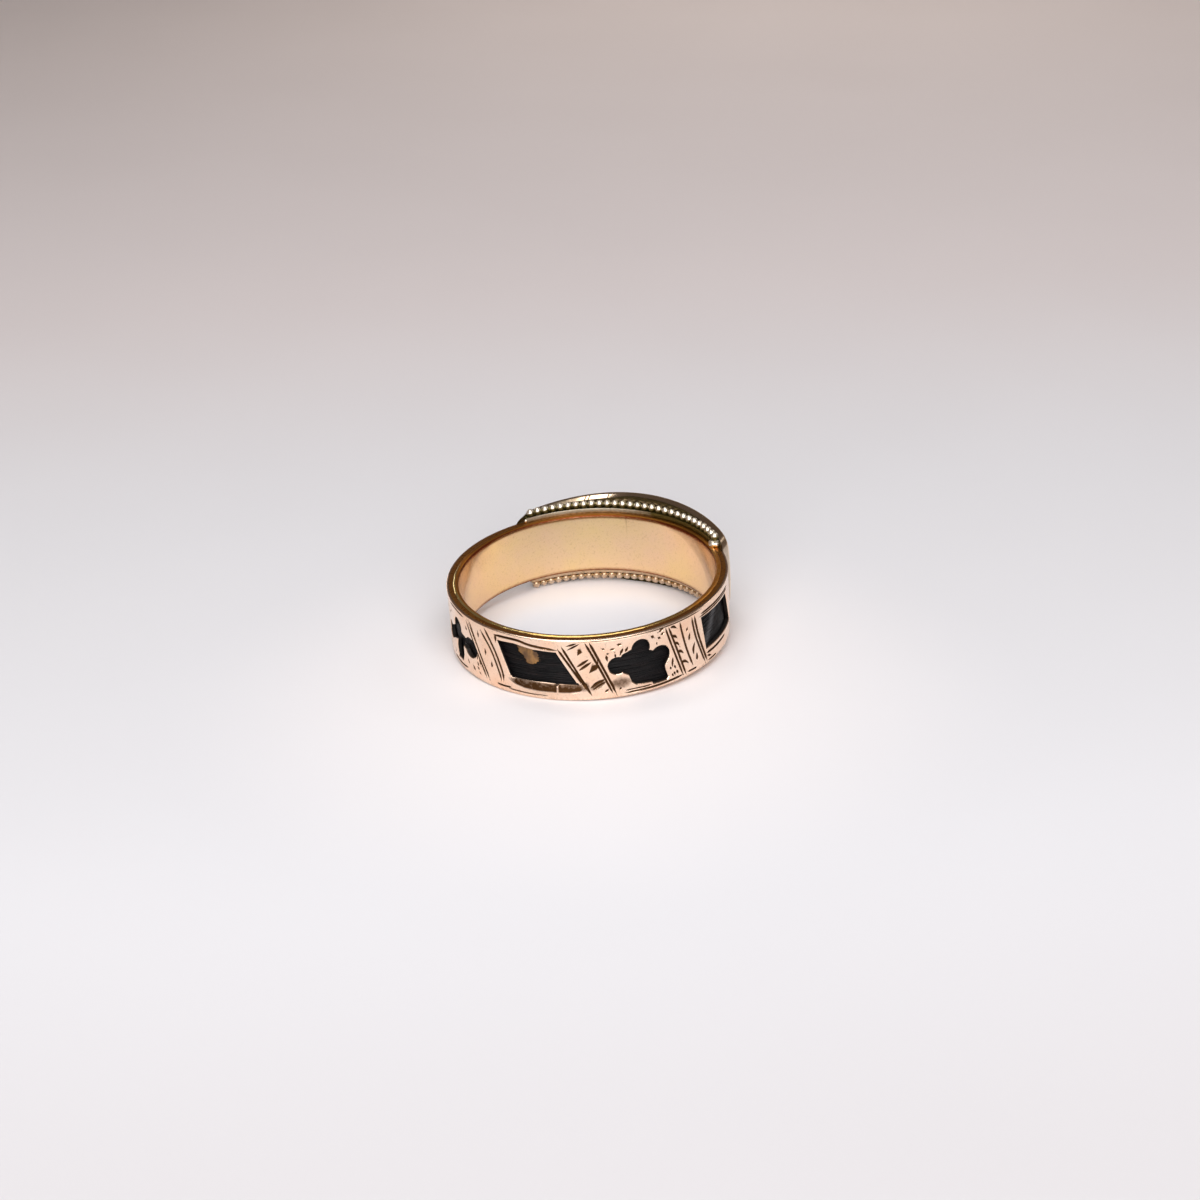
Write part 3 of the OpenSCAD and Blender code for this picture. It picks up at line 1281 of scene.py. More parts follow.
class GeometryMaker(NodeTree):
    """A geometry node tree in millimetres with named inputs, and the mesh that it makes."""

    def __init__(self, name: str) -> None:
        """Makes the tree.

        Args:
            name: Name of the tree and of the piece.
        """
        super().__init__(bpy.data.node_groups.new(name, "GeometryNodeTree"))
        self.name = name
        self.values: dict[str, object] = {}
        face = self.tree.interface
        face.new_socket("Geometry", in_out="INPUT", socket_type="NodeSocketGeometry")
        face.new_socket("Geometry", in_out="OUTPUT", socket_type="NodeSocketGeometry")
        self.input = self.add("NodeGroupInput")
        self.start = self.input.outputs["Geometry"]

    def named(self, name: str, kind: str, value: object) -> Socket:
        """Adds a named input.

        Args:
            name: Name of the input.
            kind: Blender's type of socket.
            value: Value that the modifier gives it.

        Returns:
            The input's socket inside the tree.
        """
        item = self.tree.interface.new_socket(name, in_out="INPUT", socket_type=kind)
        self.values[item.identifier] = value
        return self.input.outputs[name]

    def size(self, name: str, value: float) -> Socket:
        """Adds a named size."""
        return self.named(name, "NodeSocketFloat", float(value))

    def count(self, name: str, value: int) -> Socket:
        """Adds a named whole number."""
        return self.named(name, "NodeSocketInt", int(value))

    def geometry(self, kind: str, inputs: dict | None = None, result: int | str = 0,
                 **settings: object) -> Socket:
        """Adds a geometry node by the last part of its type's name and gives an output."""
        return self.out("GeometryNode" + kind, inputs, result, **settings)

    def attribute(self, name: str) -> Socket:
        """Reads a named attribute of the points."""
        return self.geometry("InputNamedAttribute", {"Name": name}, "Attribute")

    def random(self, low: float, high: float, seed: object) -> Socket:
        """Gives a random number from low to high for each point."""
        kind = "FunctionNodeRandomValue"
        return self.out(kind, {2: low, 3: high, "Seed": seed}, 1, data_type="FLOAT")

    def wave(self, turn: Socket, count: object, phase: Socket) -> Socket:
        """Gives a wave from -1 to 1 that runs round the ring a number of times."""
        return self.math("SINE", self.math("MULTIPLY_ADD", turn, count, phase))

    def kept(self, value: Socket, low: float = 0.0, high: float = 1.0) -> Socket:
        """Keeps a number between two others."""
        return self.out("ShaderNodeClamp", {"Value": value, "Min": low, "Max": high})

    def mark(self, made: Socket, name: str, value: object) -> Socket:
        """Stores a number at each point of a geometry as a named attribute."""
        inputs = {"Geometry": made, "Name": name, "Value": value}
        return self.geometry("StoreNamedAttribute", inputs, data_type="FLOAT", domain="POINT")

    def lay(self, points: Socket, radius: Socket, turn: Socket, height: Socket) -> Socket:
        """Moves points to their places round the finger.

        Args:
            points: The points.
            radius: Radius of each.
            turn: Az of each in radians.
            height: Height of each.

        Returns:
            The moved points.
        """
        x = self.math("MULTIPLY", radius, self.math("SINE", turn))
        y = self.math("MULTIPLY", radius, self.math("COSINE", turn))
        spot = self.out("ShaderNodeCombineXYZ", {"X": x, "Y": y, "Z": height})
        return self.geometry("SetPosition", {"Geometry": points, "Position": spot})

    def wire(self, path: Socket, radius: Socket, sides: int, thick: object = 1.0) -> Socket:
        """Runs a round wire along a curve, with a factor on its radius at each point."""
        ring = self.geometry("CurvePrimitiveCircle", {"Resolution": sides, "Radius": radius})
        return self.geometry("CurveToMesh", {
            "Curve": path, "Profile Curve": ring, "Scale": thick, "Fill Caps": True})

    def finish(self, piece: Piece, made: Socket, material: Material) -> Piece:
        """Ends the tree, runs it once on an object and keeps the result as a plain mesh.

        Args:
            piece: Object whose mesh the tree starts from. It becomes the piece.
            made: Geometry that the tree has made, in millimetres.
            material: The piece's material.

        Returns:
            The same object with its new mesh, in metres.
        """
        dressed = self.named("Material", "NodeSocketMaterial", material)
        scaled = self.geometry("Transform", {"Geometry": made, "Scale": (MM, MM, MM)})
        smooth = self.geometry("SetShadeSmooth", {"Geometry": scaled})
        real = self.geometry("RealizeInstances", {"Geometry": smooth})
        coated = self.geometry("SetMaterial", {"Geometry": real, "Material": dressed})
        self.add("NodeGroupOutput", {"Geometry": coated})
        modifier = piece.modifiers.new(self.name, "NODES")
        modifier.node_group = self.tree
        for identifier, value in self.values.items():
            modifier[identifier] = value
        graph = bpy.context.evaluated_depsgraph_get()
        data = bpy.data.meshes.new_from_object(piece.evaluated_get(graph), depsgraph=graph)
        data.name = self.name
        piece.modifiers.clear()
        piece.data = data
        log.info("%s: %d faces", self.name, len(data.polygons))
        return piece


# What each point that starts a strand carries
STRAND_VALUES = ("from_az", "to_az", "height", "drop", "thick")


@dataclass
class HairBand:
    """Locks of hair laid round the liner over a dark bed, with a worn patch cut through."""

    sizes: RingSizes
    finishes: Finishes
    patch: Opening
    strands: int = 43
    segments: int = 230
    strand_r: float = 0.05
    most_drop: float = 0.03
    frayed: float = 0.9
    thickness: Point = (0.8, 1.05)
    wave_h: float = 0.03
    waves: float = 26.0
    slow_waves: float = 7.0
    lift_waves: float = 15.0
    lift: float = 0.02
    # Where the painted sheen lies across the strands: its az, its lean with height and its half width in
    # degrees
    sheen_az: float = -83.7
    sheen_lean: float = -4.4
    sheen_reach: float = 3.4
    seed: int = 7

    def build(self) -> list[Piece]:
        """Makes the bed and the strands."""
        material = self.finishes.hair.material()
        return [self.build_bed(material), self.build_strands(material)]

    @property
    def half(self) -> float:
        """Half of the hair's width."""
        return self.sizes.channel_half - self.sizes.seam_gap

    @property
    def bed_r(self) -> float:
        """Outside radius of the bed under the strands."""
        return self.sizes.hair_out_r - 2.4 * self.strand_r

    def build_bed(self, material: Material) -> Piece:
        """Makes the closed bed with the worn patch cut through."""
        shell = Shell()
        s = self.sizes
        sleeve = PiercedSleeve(self.bed_r, s.hair_in_r, self.half, self.half, [self.patch],
                               relief=self.uneven, edge_steps=360, grid=0.3)
        sleeve.build(shell)
        profile = [(self.bed_r, -self.half), (self.bed_r, self.half),
                   (s.hair_in_r, self.half), (s.hair_in_r, -self.half)]
        turn_profile(shell, profile, skipped=(0, 2), steps=360)
        return settle(shell.finish("hair_bed", [material]), Slot.HAIR, Node.HAIR)

    def uneven(self, az: Array, z: Array) -> Arrays:
        """Gives the bed's uneven depth and no tarnish."""
        depth = [0.03 * waviness(around(self.bed_r, a, h), 0.7, 5.0) for a, h in zip(az, z)]
        return np.array(depth), np.zeros(len(az))

    def patch_ends(self, height: float) -> Point | None:
        """Finds where a strand at a height meets the worn patch.

        Args:
            height: The strand's height.

        Returns:
            The patch's first and last az there, or None.
        """
        outline = self.patch.spread(self.sizes.outer_r, 180 / math.pi)[0]
        hits = []
        for (a_az, a_z), (b_az, b_z) in zip(outline, [*outline[1:], outline[0]]):
            if (a_z > height) != (b_z > height):
                hits.append(a_az + (height - a_z) / (b_z - a_z) * (b_az - a_az))
        return (min(hits), max(hits)) if hits else None

    def strand_starts(self) -> Piece:
        """Makes a point for each strand, which carries where it starts, ends and lies.

        Returns:
            The object that holds the points.
        """
        random = np.random.default_rng(self.seed)
        reach = self.half - self.strand_r
        rows = []
        for i in range(self.strands):
            height = reach * (2 * i / (self.strands - 1) - 1)
            drop = random.uniform(0, self.most_drop)
            ends = self.patch_ends(height)
            start, end = -180.0, 180.0
            if ends:
                start = ends[1] + random.uniform(0.0, self.frayed)
                end = ends[0] + 360 - random.uniform(0.0, self.frayed)
            rows.append((start, end, height, drop, random.uniform(*self.thickness)))
        data = bpy.data.meshes.new("strand_starts")
        data.vertices.add(len(rows))
        for name, values in zip(STRAND_VALUES, zip(*rows)):
            data.attributes.new(name, "FLOAT", "POINT").data.foreach_set("value", values)
        return new_object("hair_strands", data)

    def build_strands(self, material: Material) -> Piece:
        """Makes the strands with geometry nodes.

        Args:
            material: The hair's material.

        Returns:
            The finished piece.
        """
        maker = GeometryMaker("hair_strands")
        radius = maker.size("Strand radius", self.strand_r)
        layer_r = maker.size("Layer radius", self.sizes.hair_out_r - self.strand_r)
        wave_h = maker.size("Wave height", self.wave_h)
        waves = maker.size("Waves round the ring", self.waves)
        segments = maker.count("Segments", self.segments)
        straight = maker.geometry("CurvePrimitiveLine", {"End": (1.0, 0.0, 0.0)})
        fine = maker.geometry("ResampleCurve", {"Curve": straight, "Count": segments})
        placed = maker.geometry("InstanceOnPoints", {"Points": maker.start, "Instance": fine})
        real = maker.geometry("RealizeInstances", {"Geometry": placed})
        share = maker.geometry("SplineParameter", result="Factor")
        start, end, height, drop, thick = (maker.attribute(name) for name in STRAND_VALUES)
        az = maker.math("MULTIPLY_ADD", maker.math("SUBTRACT", end, start), share, start)
        turn = maker.math("RADIANS", az)
        bend = maker.wave(turn, waves, maker.math("MULTIPLY", height, 1.7))
        slow = maker.wave(turn, self.slow_waves, maker.math("MULTIPLY", drop, 200.0))
        lift = maker.wave(turn, self.lift_waves, maker.math("MULTIPLY", drop, 90.0))
        sway = maker.math("MULTIPLY", maker.math("ADD", bend, slow), maker.math("MULTIPLY", wave_h, 0.5))
        sunk = maker.math("MULTIPLY", maker.math("MULTIPLY_ADD", lift, 0.5, 0.5), -self.lift)
        at_r = maker.math("ADD", layer_r, maker.math("SUBTRACT", sunk, drop))
        reach = self.half - self.strand_r
        at_z = maker.kept(maker.math("ADD", height, sway), -reach, reach)
        laid = maker.lay(real, at_r, turn, at_z)
        # Marks the strands of the painted sheen's band
        shift = maker.math("MULTIPLY_ADD", height, -math.radians(self.sheen_lean) / 2,
                           -math.radians(self.sheen_az) / 2)
        away = maker.math("ABSOLUTE", maker.wave(turn, 0.5, shift))
        sheen = maker.math("MULTIPLY_ADD", away, -2 / math.radians(self.sheen_reach), 1.0)
        marked = maker.mark(laid, PAINTED_SHEEN, maker.kept(sheen))
        tubes = maker.wire(marked, radius, 6, thick)
        return settle(maker.finish(self.strand_starts(), tubes, material), Slot.HAIR)


WINDOWS = {
    "back": ((15.2, 0.325), (7, 0.345), (-1, 0.3), (-10.4, 0.285), (-18.5, -0.255),
             (-5, -0.24), (9.6, -0.244)),
    "right": ((-74.2, 0.315), (-97.5, 0.3), (-105, -0.27), (-76.8, -0.24)),
    "left": ((99, 0.315), (75.5, 0.32), (70, -0.24), (96.5, -0.25)),
}
LEFT_CLUB = (
    ((53, -0.06, 0.145), (43, 0.165, 0.135), (32.5, -0.033, 0.16)),
    ((52, 0.02), (43, 0.2), (38.3, 0.1), (32.5, 0.05), (33.5, -0.16), (38.3, -0.08),
     (38.8, -0.25), (40, -0.36), (45, -0.365), (45.6, -0.2), (44.5, -0.08), (50, -0.16)),
)
RIGHT_CLUB = (
    ((-34.2, 0.022, 0.138), (-44, 0.233, 0.14), (-52, 0.022, 0.162)),
    ((-34.2, 0.08), (-36.5, 0.19), (-44, 0.3), (-47.2, 0.17), (-52, 0.08), (-55.5, -0.08),
     (-54, -0.167), (-54.2, -0.233), (-55.3, -0.367), (-54.5, -0.4), (-48.5, -0.4),
     (-47.7, -0.355), (-41.2, -0.333), (-39.5, -0.278), (-38.3, -0.15), (-36, -0.1)),
)
WORN_PATCH = ((7.4, 0.4), (1.8, 0.4), (1.4, 0.275), (-1.7, 0.2), (-2.1, 0.13), (-1.3, 0.045),
              (0.4, 0.01), (2.2, 0.012), (3.1, 0.06), (4.3, 0.14), (5.8, 0.19), (6.9, 0.28))


def line(width: float, *path: Point, tone: float = 0.55) -> Stroke:
    """A long even cut."""
    return Stroke(path, width, Cut.LINE, tone=tone)


def dagger(width: float, *path: Point) -> Stroke:
    """A short cut, thick where it starts."""
    return Stroke(path, width, Cut.DAGGER)


def leaf(width: float, *path: Point) -> Stroke:
    """A short cut, thick in its middle."""
    return Stroke(path, width, Cut.LEAF)


def wedge(width: float, *path: Point) -> Stroke:
    """A three-sided nick."""
    return Stroke(path, width, Cut.WEDGE, depth=0.05)


STROKES = (
    # Cuts between the back window and the left club, and round that club
    line(0.1, (33.8, 1.8), (29.5, 0.35), (22.8, -1.75)),
    line(0.1, (31.4, 1.9), (27.2, 0.3), (21.3, -1.75)),
    line(0.05, (32.5, 1.9), (28.4, 0.6), (24, -0.65)),
    line(0.1, (24, 1.7), (19, 0.55), (15.5, -0.95), (14.7, -1.55)),
    line(0.11, (21.7, 2), (17, 0.65), (14, -0.75), (13.5, -1.5)),
    dagger(0.13, (26, 1.45), (25.9, 1.05)),
    dagger(0.13, (22.3, 0.05), (22.4, 0.5)),
    dagger(0.13, (19.3, -0.75), (19.1, -0.3)),
    leaf(0.09, (28.4, -0.15), (28, -0.75)),
    leaf(0.1, (26.9, -0.4), (26.1, -1.05)),
    leaf(0.09, (28.3, -0.85), (27.4, -1.2)),
    leaf(0.1, (31.8, -1.35), (30.2, -1.7)),
    leaf(0.08, (28.6, -1.25), (27.2, -1.45)),
    leaf(0.08, (27.6, -1.6), (26.4, -1.75)),
    leaf(0.08, (35.5, -1.15), (34.4, -1.5)),
    line(0.07, (50, 1.95), (43, 1.98), (36, 1.9)),
    line(0.07, (50, -1.95), (41, -1.98), (36, -1.9)),
    leaf(0.09, (35.2, 1.35), (33.9, 1.05)),
    leaf(0.09, (50.5, 1.35), (52.5, 1.05)),
    leaf(0.09, (54.8, 1.5), (56.2, 1.15)),
    leaf(0.09, (56.5, -1.2), (55, -1.6)),
    leaf(0.09, (49.8, -1.4), (48.6, -1.7)),
    # Cuts between the back window and the right club
    line(0.1, (-11.5, 1.5), (-16.4, 0.1), (-21.5, -1.45)),
    line(0.1, (-13, 1.7), (-18.2, -0.1), (-23.5, -1.9)),
    line(0.1, (-22.2, 1.95), (-26.8, 0.2), (-31.7, -1.85)),
    line(0.105, (-23.8, 2), (-28.4, 0.1), (-33, -1.9)),
    leaf(0.07, (-14.5, 1.75), (-19, 2)),
    leaf(0.06, (-15, 1.5), (-20, 1.95)),
    wedge(0.22, (-19.9, 1.4), (-18.9, 1.1)),
    leaf(0.12, (-18.2, 0.25), (-23.2, 0.8)),
    leaf(0.12, (-19, 0), (-24.2, 0.6)),
    wedge(0.3, (-25.2, 0.18), (-22.8, -0.24)),
    leaf(0.14, (-23, -1.35), (-26, -1), (-29, -0.75)),
    leaf(0.1, (-24, -1.5), (-27, -1.15), (-29.5, -0.95)),
    dagger(0.1, (-26.5, 0.6), (-26.3, 0.3)),
    dagger(0.13, (-30, 0.95), (-30.3, 0.5)),
    leaf(0.09, (-28.4, -1.75), (-30.2, -1.5)),
    leaf(0.08, (-34.3, -1.7), (-35.2, -1.5)),
    # Cuts that fill the ground round the right club
    leaf(0.1, (-28.4, 1.5), (-29.6, 1.4)),
    leaf(0.1, (-31.4, 1.35), (-33.7, 1.37)),
    leaf(0.08, (-29.8, 1.05), (-31.2, 1.1)),
    leaf(0.1, (-34.3, 1.65), (-36.5, 1.62)),
    dagger(0.14, (-35.6, 0.95), (-36.8, 1.35)),
    dagger(0.13, (-37.6, 1.05), (-38.8, 1.4)),
    dagger(0.1, (-33.6, 0.75), (-33.4, 1.05)),
    leaf(0.13, (-48.3, 1.75), (-49.8, 1.55)),
    leaf(0.12, (-51.3, 1.5), (-52.6, 1.35)),
    leaf(0.09, (-51.8, 1.85), (-54.2, 2.02)),
    leaf(0.09, (-52.6, 1.6), (-54.4, 1.7)),
    leaf(0.07, (-50.6, 1.2), (-50.9, 0.95)),
    leaf(0.11, (-57.7, -0.35), (-57.3, -1.05)),
    leaf(0.09, (-56.2, -0.95), (-56.7, -1.2)),
    leaf(0.1, (-57, -1.5), (-57.6, -1.75)),
    leaf(0.09, (-58.2, -0.95), (-58.9, -1.25)),
    leaf(0.1, (-57.8, -1.4), (-58.6, -1.7)),
    leaf(0.11, (-59.1, -1.35), (-60, -1.7)),
    line(0.08, (-37, -1.97), (-50, -1.98), (-62.5, -1.93)),
    line(0.06, (-37, -1.78), (-48, -1.8)),
    line(0.07, (-65, -1.9), (-70, -1.93)),
    line(0.05, (-20, 2.05), (-48, 2.06), (-75, 2.05), tone=0.3),
    # Slanted lines between the right club and the right window, and the nicks in them
    line(0.09, (-55, 1.95), (-57.6, 0.5), (-62.5, -2)),
    line(0.1, (-56.5, 1.9), (-59.6, 0.3), (-64, -2.05)),
    line(0.095, (-62, 1.95), (-63.4, 0.8), (-65.3, -0.4), (-68, -1.65)),
    line(0.11, (-68.5, 1.85), (-70.4, 0.3), (-75.5, -1.95)),
    line(0.12, (-70, 1.85), (-72.4, 0.1), (-77, -2)),
    leaf(0.1, (-57.2, 1.85), (-58.8, 1.85), (-60.2, 1.65)),
    dagger(0.16, (-57.8, 1.15), (-59.2, 1.12), (-60.3, 0.9)),
    dagger(0.14, (-58.8, 0.6), (-60.2, 0.55), (-61.2, 0.3)),
    dagger(0.15, (-60.4, -0.1), (-61.8, -0.15), (-63.2, -0.4)),
    dagger(0.15, (-62.2, -0.95), (-64, -1.05), (-65.6, -1.3)),
    leaf(0.09, (-65.9, 1.35), (-65.3, 1.05)),
    leaf(0.12, (-66.9, 0.85), (-66.4, 0.3)),
    leaf(0.13, (-69.7, 0), (-68.6, -0.45), (-68.7, -0.9)),
    dagger(0.17, (-70.6, -1.4), (-70.4, -0.85)),
    line(0.1, (-77, -1.42), (-85, -1.46), (-94, -1.45)),
    line(0.06, (-78, -2.02), (-84, -2.03)),
    line(0.08, (-74, 1.72), (-87, 1.74), (-100, 1.7)),
    line(0.06, (-73, 1.55), (-87, 1.57), (-100, 1.54)),
    leaf(0.08, (-77, -1.62), (-80, -1.8)),
    # Lines along the back window
    line(0.11, (16.5, 1.82), (6, 1.87), (0, 1.67), (-11, 1.46)),
    leaf(0.12, (16, 1.9), (15.9, 1.3)),
    line(0.07, (17, -1.82), (13.5, -1.84), (10, -1.8)),
    line(0.05, (11.5, -1.92), (0, -1.96), (-6, -1.95), tone=0.3),
    # Cuts on the side that the photograph hides, like those on the other side
    line(0.11, (66.5, 1.95), (63.4, 0.4), (57.8, -1.9)),
    line(0.09, (65, 1.9), (61.6, 0.2), (56.4, -1.9)),
    line(0.12, (71, 1.9), (68, 0.6), (64.2, -1.85)),
    dagger(0.14, (69.3, 1.3), (67.6, 1.2)),
    dagger(0.14, (67.7, 0.5), (66, 0.35)),
    dagger(0.14, (66, -0.4), (64.2, -0.6)),
    dagger(0.14, (64.4, -1.2), (62.6, -1.4)),
    leaf(0.1, (60.2, 1.6), (59.4, 1.2)),
    leaf(0.1, (58.6, 0.9), (58.3, 0.4)),
    line(0.08, (74, 1.72), (87, 1.76), (100, 1.7)),
    line(0.09, (72, -1.45), (84, -1.48), (96, -1.45)),
)


def beside_head(side: int) -> list[Stroke]:
    """Cuts between a window and the head.

    Args:
        side: 1 for the left window and -1 for the right one.

    Returns:
        The cuts.
    """
    shift = 0 if side > 0 else 5
    places = [
        ((103, 1.95), (104.5, 0.2), (108, -1.9)),
        ((105, 1.9), (106.6, 0.1), (110, -1.95)),
        ((112.5, 1.9), (114, 0.2), (117, -1.9)),
    ]
    cuts = [line(0.11, *[(side * (az + shift), z) for az, z in path]) for path in places]
    for az, z in ((108.2, 1.3), (109.3, 0.5), (110.6, -0.4), (112.2, -1.3)):
        cuts.append(dagger(0.13, (side * (az + shift), z), (side * (az + shift + 1.8), z - 0.2)))
    return cuts


def all_strokes() -> list[Stroke]:
    """Every cut on the outer band."""
    return [*STROKES, *beside_head(1), *beside_head(-1)]


@dataclass(frozen=True)
class Smudge:
    """A soft dark hollow worn into the face: where it is, how far it reaches and its lean."""

    az: float
    height: float
    reach: Point
    lean: float = 0.0
    dark: float = 0.3
    depth: float = 0.03

    def share(self, az: Array, z: Array) -> Array:
        """Gives the smudge's strength at points, from 0 to 1.

        Args:
            az: Az of each point.
            z: Height of each point.

        Returns:
            The strength.
        """
        along = (az - self.az) / self.reach[0]
        across = (z - self.height - self.lean * (az - self.az)) / self.reach[1]
        return np.clip(1.4 * (1 - along ** 2 - across ** 2), 0, 1)


@dataclass
class PiercedBand:
    """The outer band: a channel with solid strips along its edges, pierced and engraved."""

    sizes: RingSizes
    finishes: Finishes
    openings: Sequence[Opening]
    dent_top: float = -1.08
    dent_rim: tuple[Point, ...] = ((12, -1.12), (9.5, -1.4), (4, -1.68), (-2, -1.74), (-15, -1.72),
                                   (-19, -1.62), (-22, -1.3), (-23, -1.12))
    dent_depth: float = 0.16
    edge_drop: float = 0.05
    dent_tick: float = -10.0
    dent_shares: tuple[float, ...] = (0.18, 0.4, 0.62, 0.84)
    rim_bevel: float = 0.04
    wave_depth: float = 0.008
    worn_edge: float = 0.28
    smudges: tuple[Smudge, ...] = (
        Smudge(-26.0, -1.15, (3.9, 0.33), -0.085, 0.29, 0.04),
        Smudge(-35.2, -1.18, (5.2, 0.48), 0.0, 0.29, 0.05),
        Smudge(-21.4, -1.2, (1.6, 0.4), 0.0, 0.3),
    )

    def build(self) -> Piece:
        """Makes the band.

        Returns:
            The finished piece.
        """
        s = self.sizes
        shell = Shell()
        wall = PiercedSleeve(
            s.outer_r, s.channel_r, s.face_half, s.channel_half, self.openings,
            strokes=all_strokes(), relief=self.worn, extra_lines=self.dent_lines(),
            bevel=self.rim_bevel, materials=(0, 2, 2))
        wall.build(shell)
        in_r = s.hair_in_r
        step_r = in_r + s.lip_w
        step_z = s.half_w - s.lip_t - s.seam_gap
        worn = self.worn_edge
        low = rounding((s.outer_r - s.edge_r, s.edge_r - s.half_w), (s.edge_r, s.edge_r), 270)
        rise = s.edge_r - self.edge_drop
        high = rounding((s.outer_r - worn, s.half_w - s.edge_r), (worn, rise), 0, 10)
        profile = [(step_r, -s.half_w), *low, *high, (step_r, high[-1][1]), (step_r, step_z),
                   (in_r, step_z), (in_r, s.channel_half), (s.channel_r, s.channel_half),
                   (s.channel_r, -s.channel_half), (in_r, -s.channel_half), (in_r, -step_z),
                   (step_r, -step_z)]
        face_side = len(low)
        channel_side = profile.index((s.channel_r, s.channel_half))
        kinds = [int(abs(z) > s.face_half and r < s.outer_r - 0.14) for r, z in profile]
        turn_profile(shell, profile, skipped=(face_side, channel_side), tarnish=self.seam_and_edge_shade,
                     materials=kinds)
        coats = (self.finishes.band, self.finishes.edge, self.finishes.grime)
        piece = shell.finish("pierced_band_wall", [coat.material() for coat in coats], sharp=28)
        return settle(piece, Slot.BAND, Node.BAND)

    def seam_and_edge_shade(self, radius: float, az: float, height: float) -> float:
        """Works out the darkness of the band's edges and seams: dark joints at the seams, painted shade
        in the hidden channel and on the lower edge, and painted dark reflection on the top edge that
        grows away from the front.

        Args:
            radius: Radius.
            az: Az in degrees.
            height: Height.

        Returns:
            Darkness from 0 to 1.
        """
        s = self.sizes
        # Painted shade in the hidden channel, and dark joints at the seams beside it
        if abs(height) < s.channel_half + TOUCH:
            return 0.7
        if abs(height) < s.face_half - TOUCH:
            return 0.32
        # Painted dark reflection on the flat top edge, growing away from the front, and painted shade on
        # the lower edge
        side = clamp((abs(from_front(az)) - 25) / 30)
        flat = clamp((s.outer_r - 0.04 - radius) / 0.1)
        return flat * (0.07 + 0.2 * side) if height > 0 else 0.12

    def dent_floor(self, az: Array) -> Array:
        """Gives the height of the worn hollow's lower rim."""
        rim = self.dent_rim[::-1]
        return np.interp(az, [point[0] for point in rim], [point[1] for point in rim])

    def dent_lines(self) -> list[list[Point]]:
        """Draws lines through the worn hollow, so that its slope is cut finely."""
        places = np.linspace(self.dent_rim[-1][0], self.dent_rim[0][0], 60)
        floor = self.dent_floor(places)
        lines = [list(self.dent_rim)]
        for share in self.dent_shares:
            heights = floor + share * (self.dent_top - floor)
            lines.append(list(zip(places.tolist(), heights.tolist())))
        tick = self.dent_tick
        lines.extend([(az, -1.7), (az, -1.2)] for az in (tick - 0.7, tick - 0.3, tick + 0.3))
        return lines

    def worn(self, az: Array, z: Array) -> Arrays:
        """Works out the worn hollow under the back window and the face's slight waves.

        Args:
            az: Az of each point.
            z: Height of each point.

        Returns:
            Depth in millimetres and darkness from 0 to 1 at each point.
        """
        floor = self.dent_floor(az)
        share = (z - floor) / (self.dent_top - floor + 1e-6)
        last, first = self.dent_rim[0][0], self.dent_rim[-1][0]
        within = (az < last) & (az > first) & (z > floor - TOUCH) & (z < self.dent_top + 0.09)
        ends = np.clip(np.minimum(last - az, az - first) / 4, 0, 1)
        tick = np.clip(1 - np.abs(az - self.dent_tick) / 0.5, 0, 1)
        strength = np.where(within, ends * (1 - tick), 0.0)
        depth = self.dent_depth * np.clip(share, 0, 1) * strength
        # Darker towards the hollow's lower rim: tarnishing in the hollow together with painted dark
        # reflection of its tilted face
        shade = 0.44 - 0.15 * np.clip(share, 0, 1)
        dark = strength * shade * np.clip(share * 5, 0, 1) * np.clip((1 - share) * 14, 0, 1)
        for smudge in self.smudges:
            hollow = smudge.share(az, z)
            depth = depth + smudge.depth * hollow
            dark = np.maximum(dark, smudge.dark * hollow)
        places = [around(self.sizes.outer_r, a, h) for a, h in zip(az, z)]
        waves = np.array([waviness(place, 1.6, 1.0) for place in places])
        fade = np.clip((self.sizes.face_half - np.abs(z)) / 0.25, 0, 1)
        return depth + self.wave_depth * waves * fade, dark


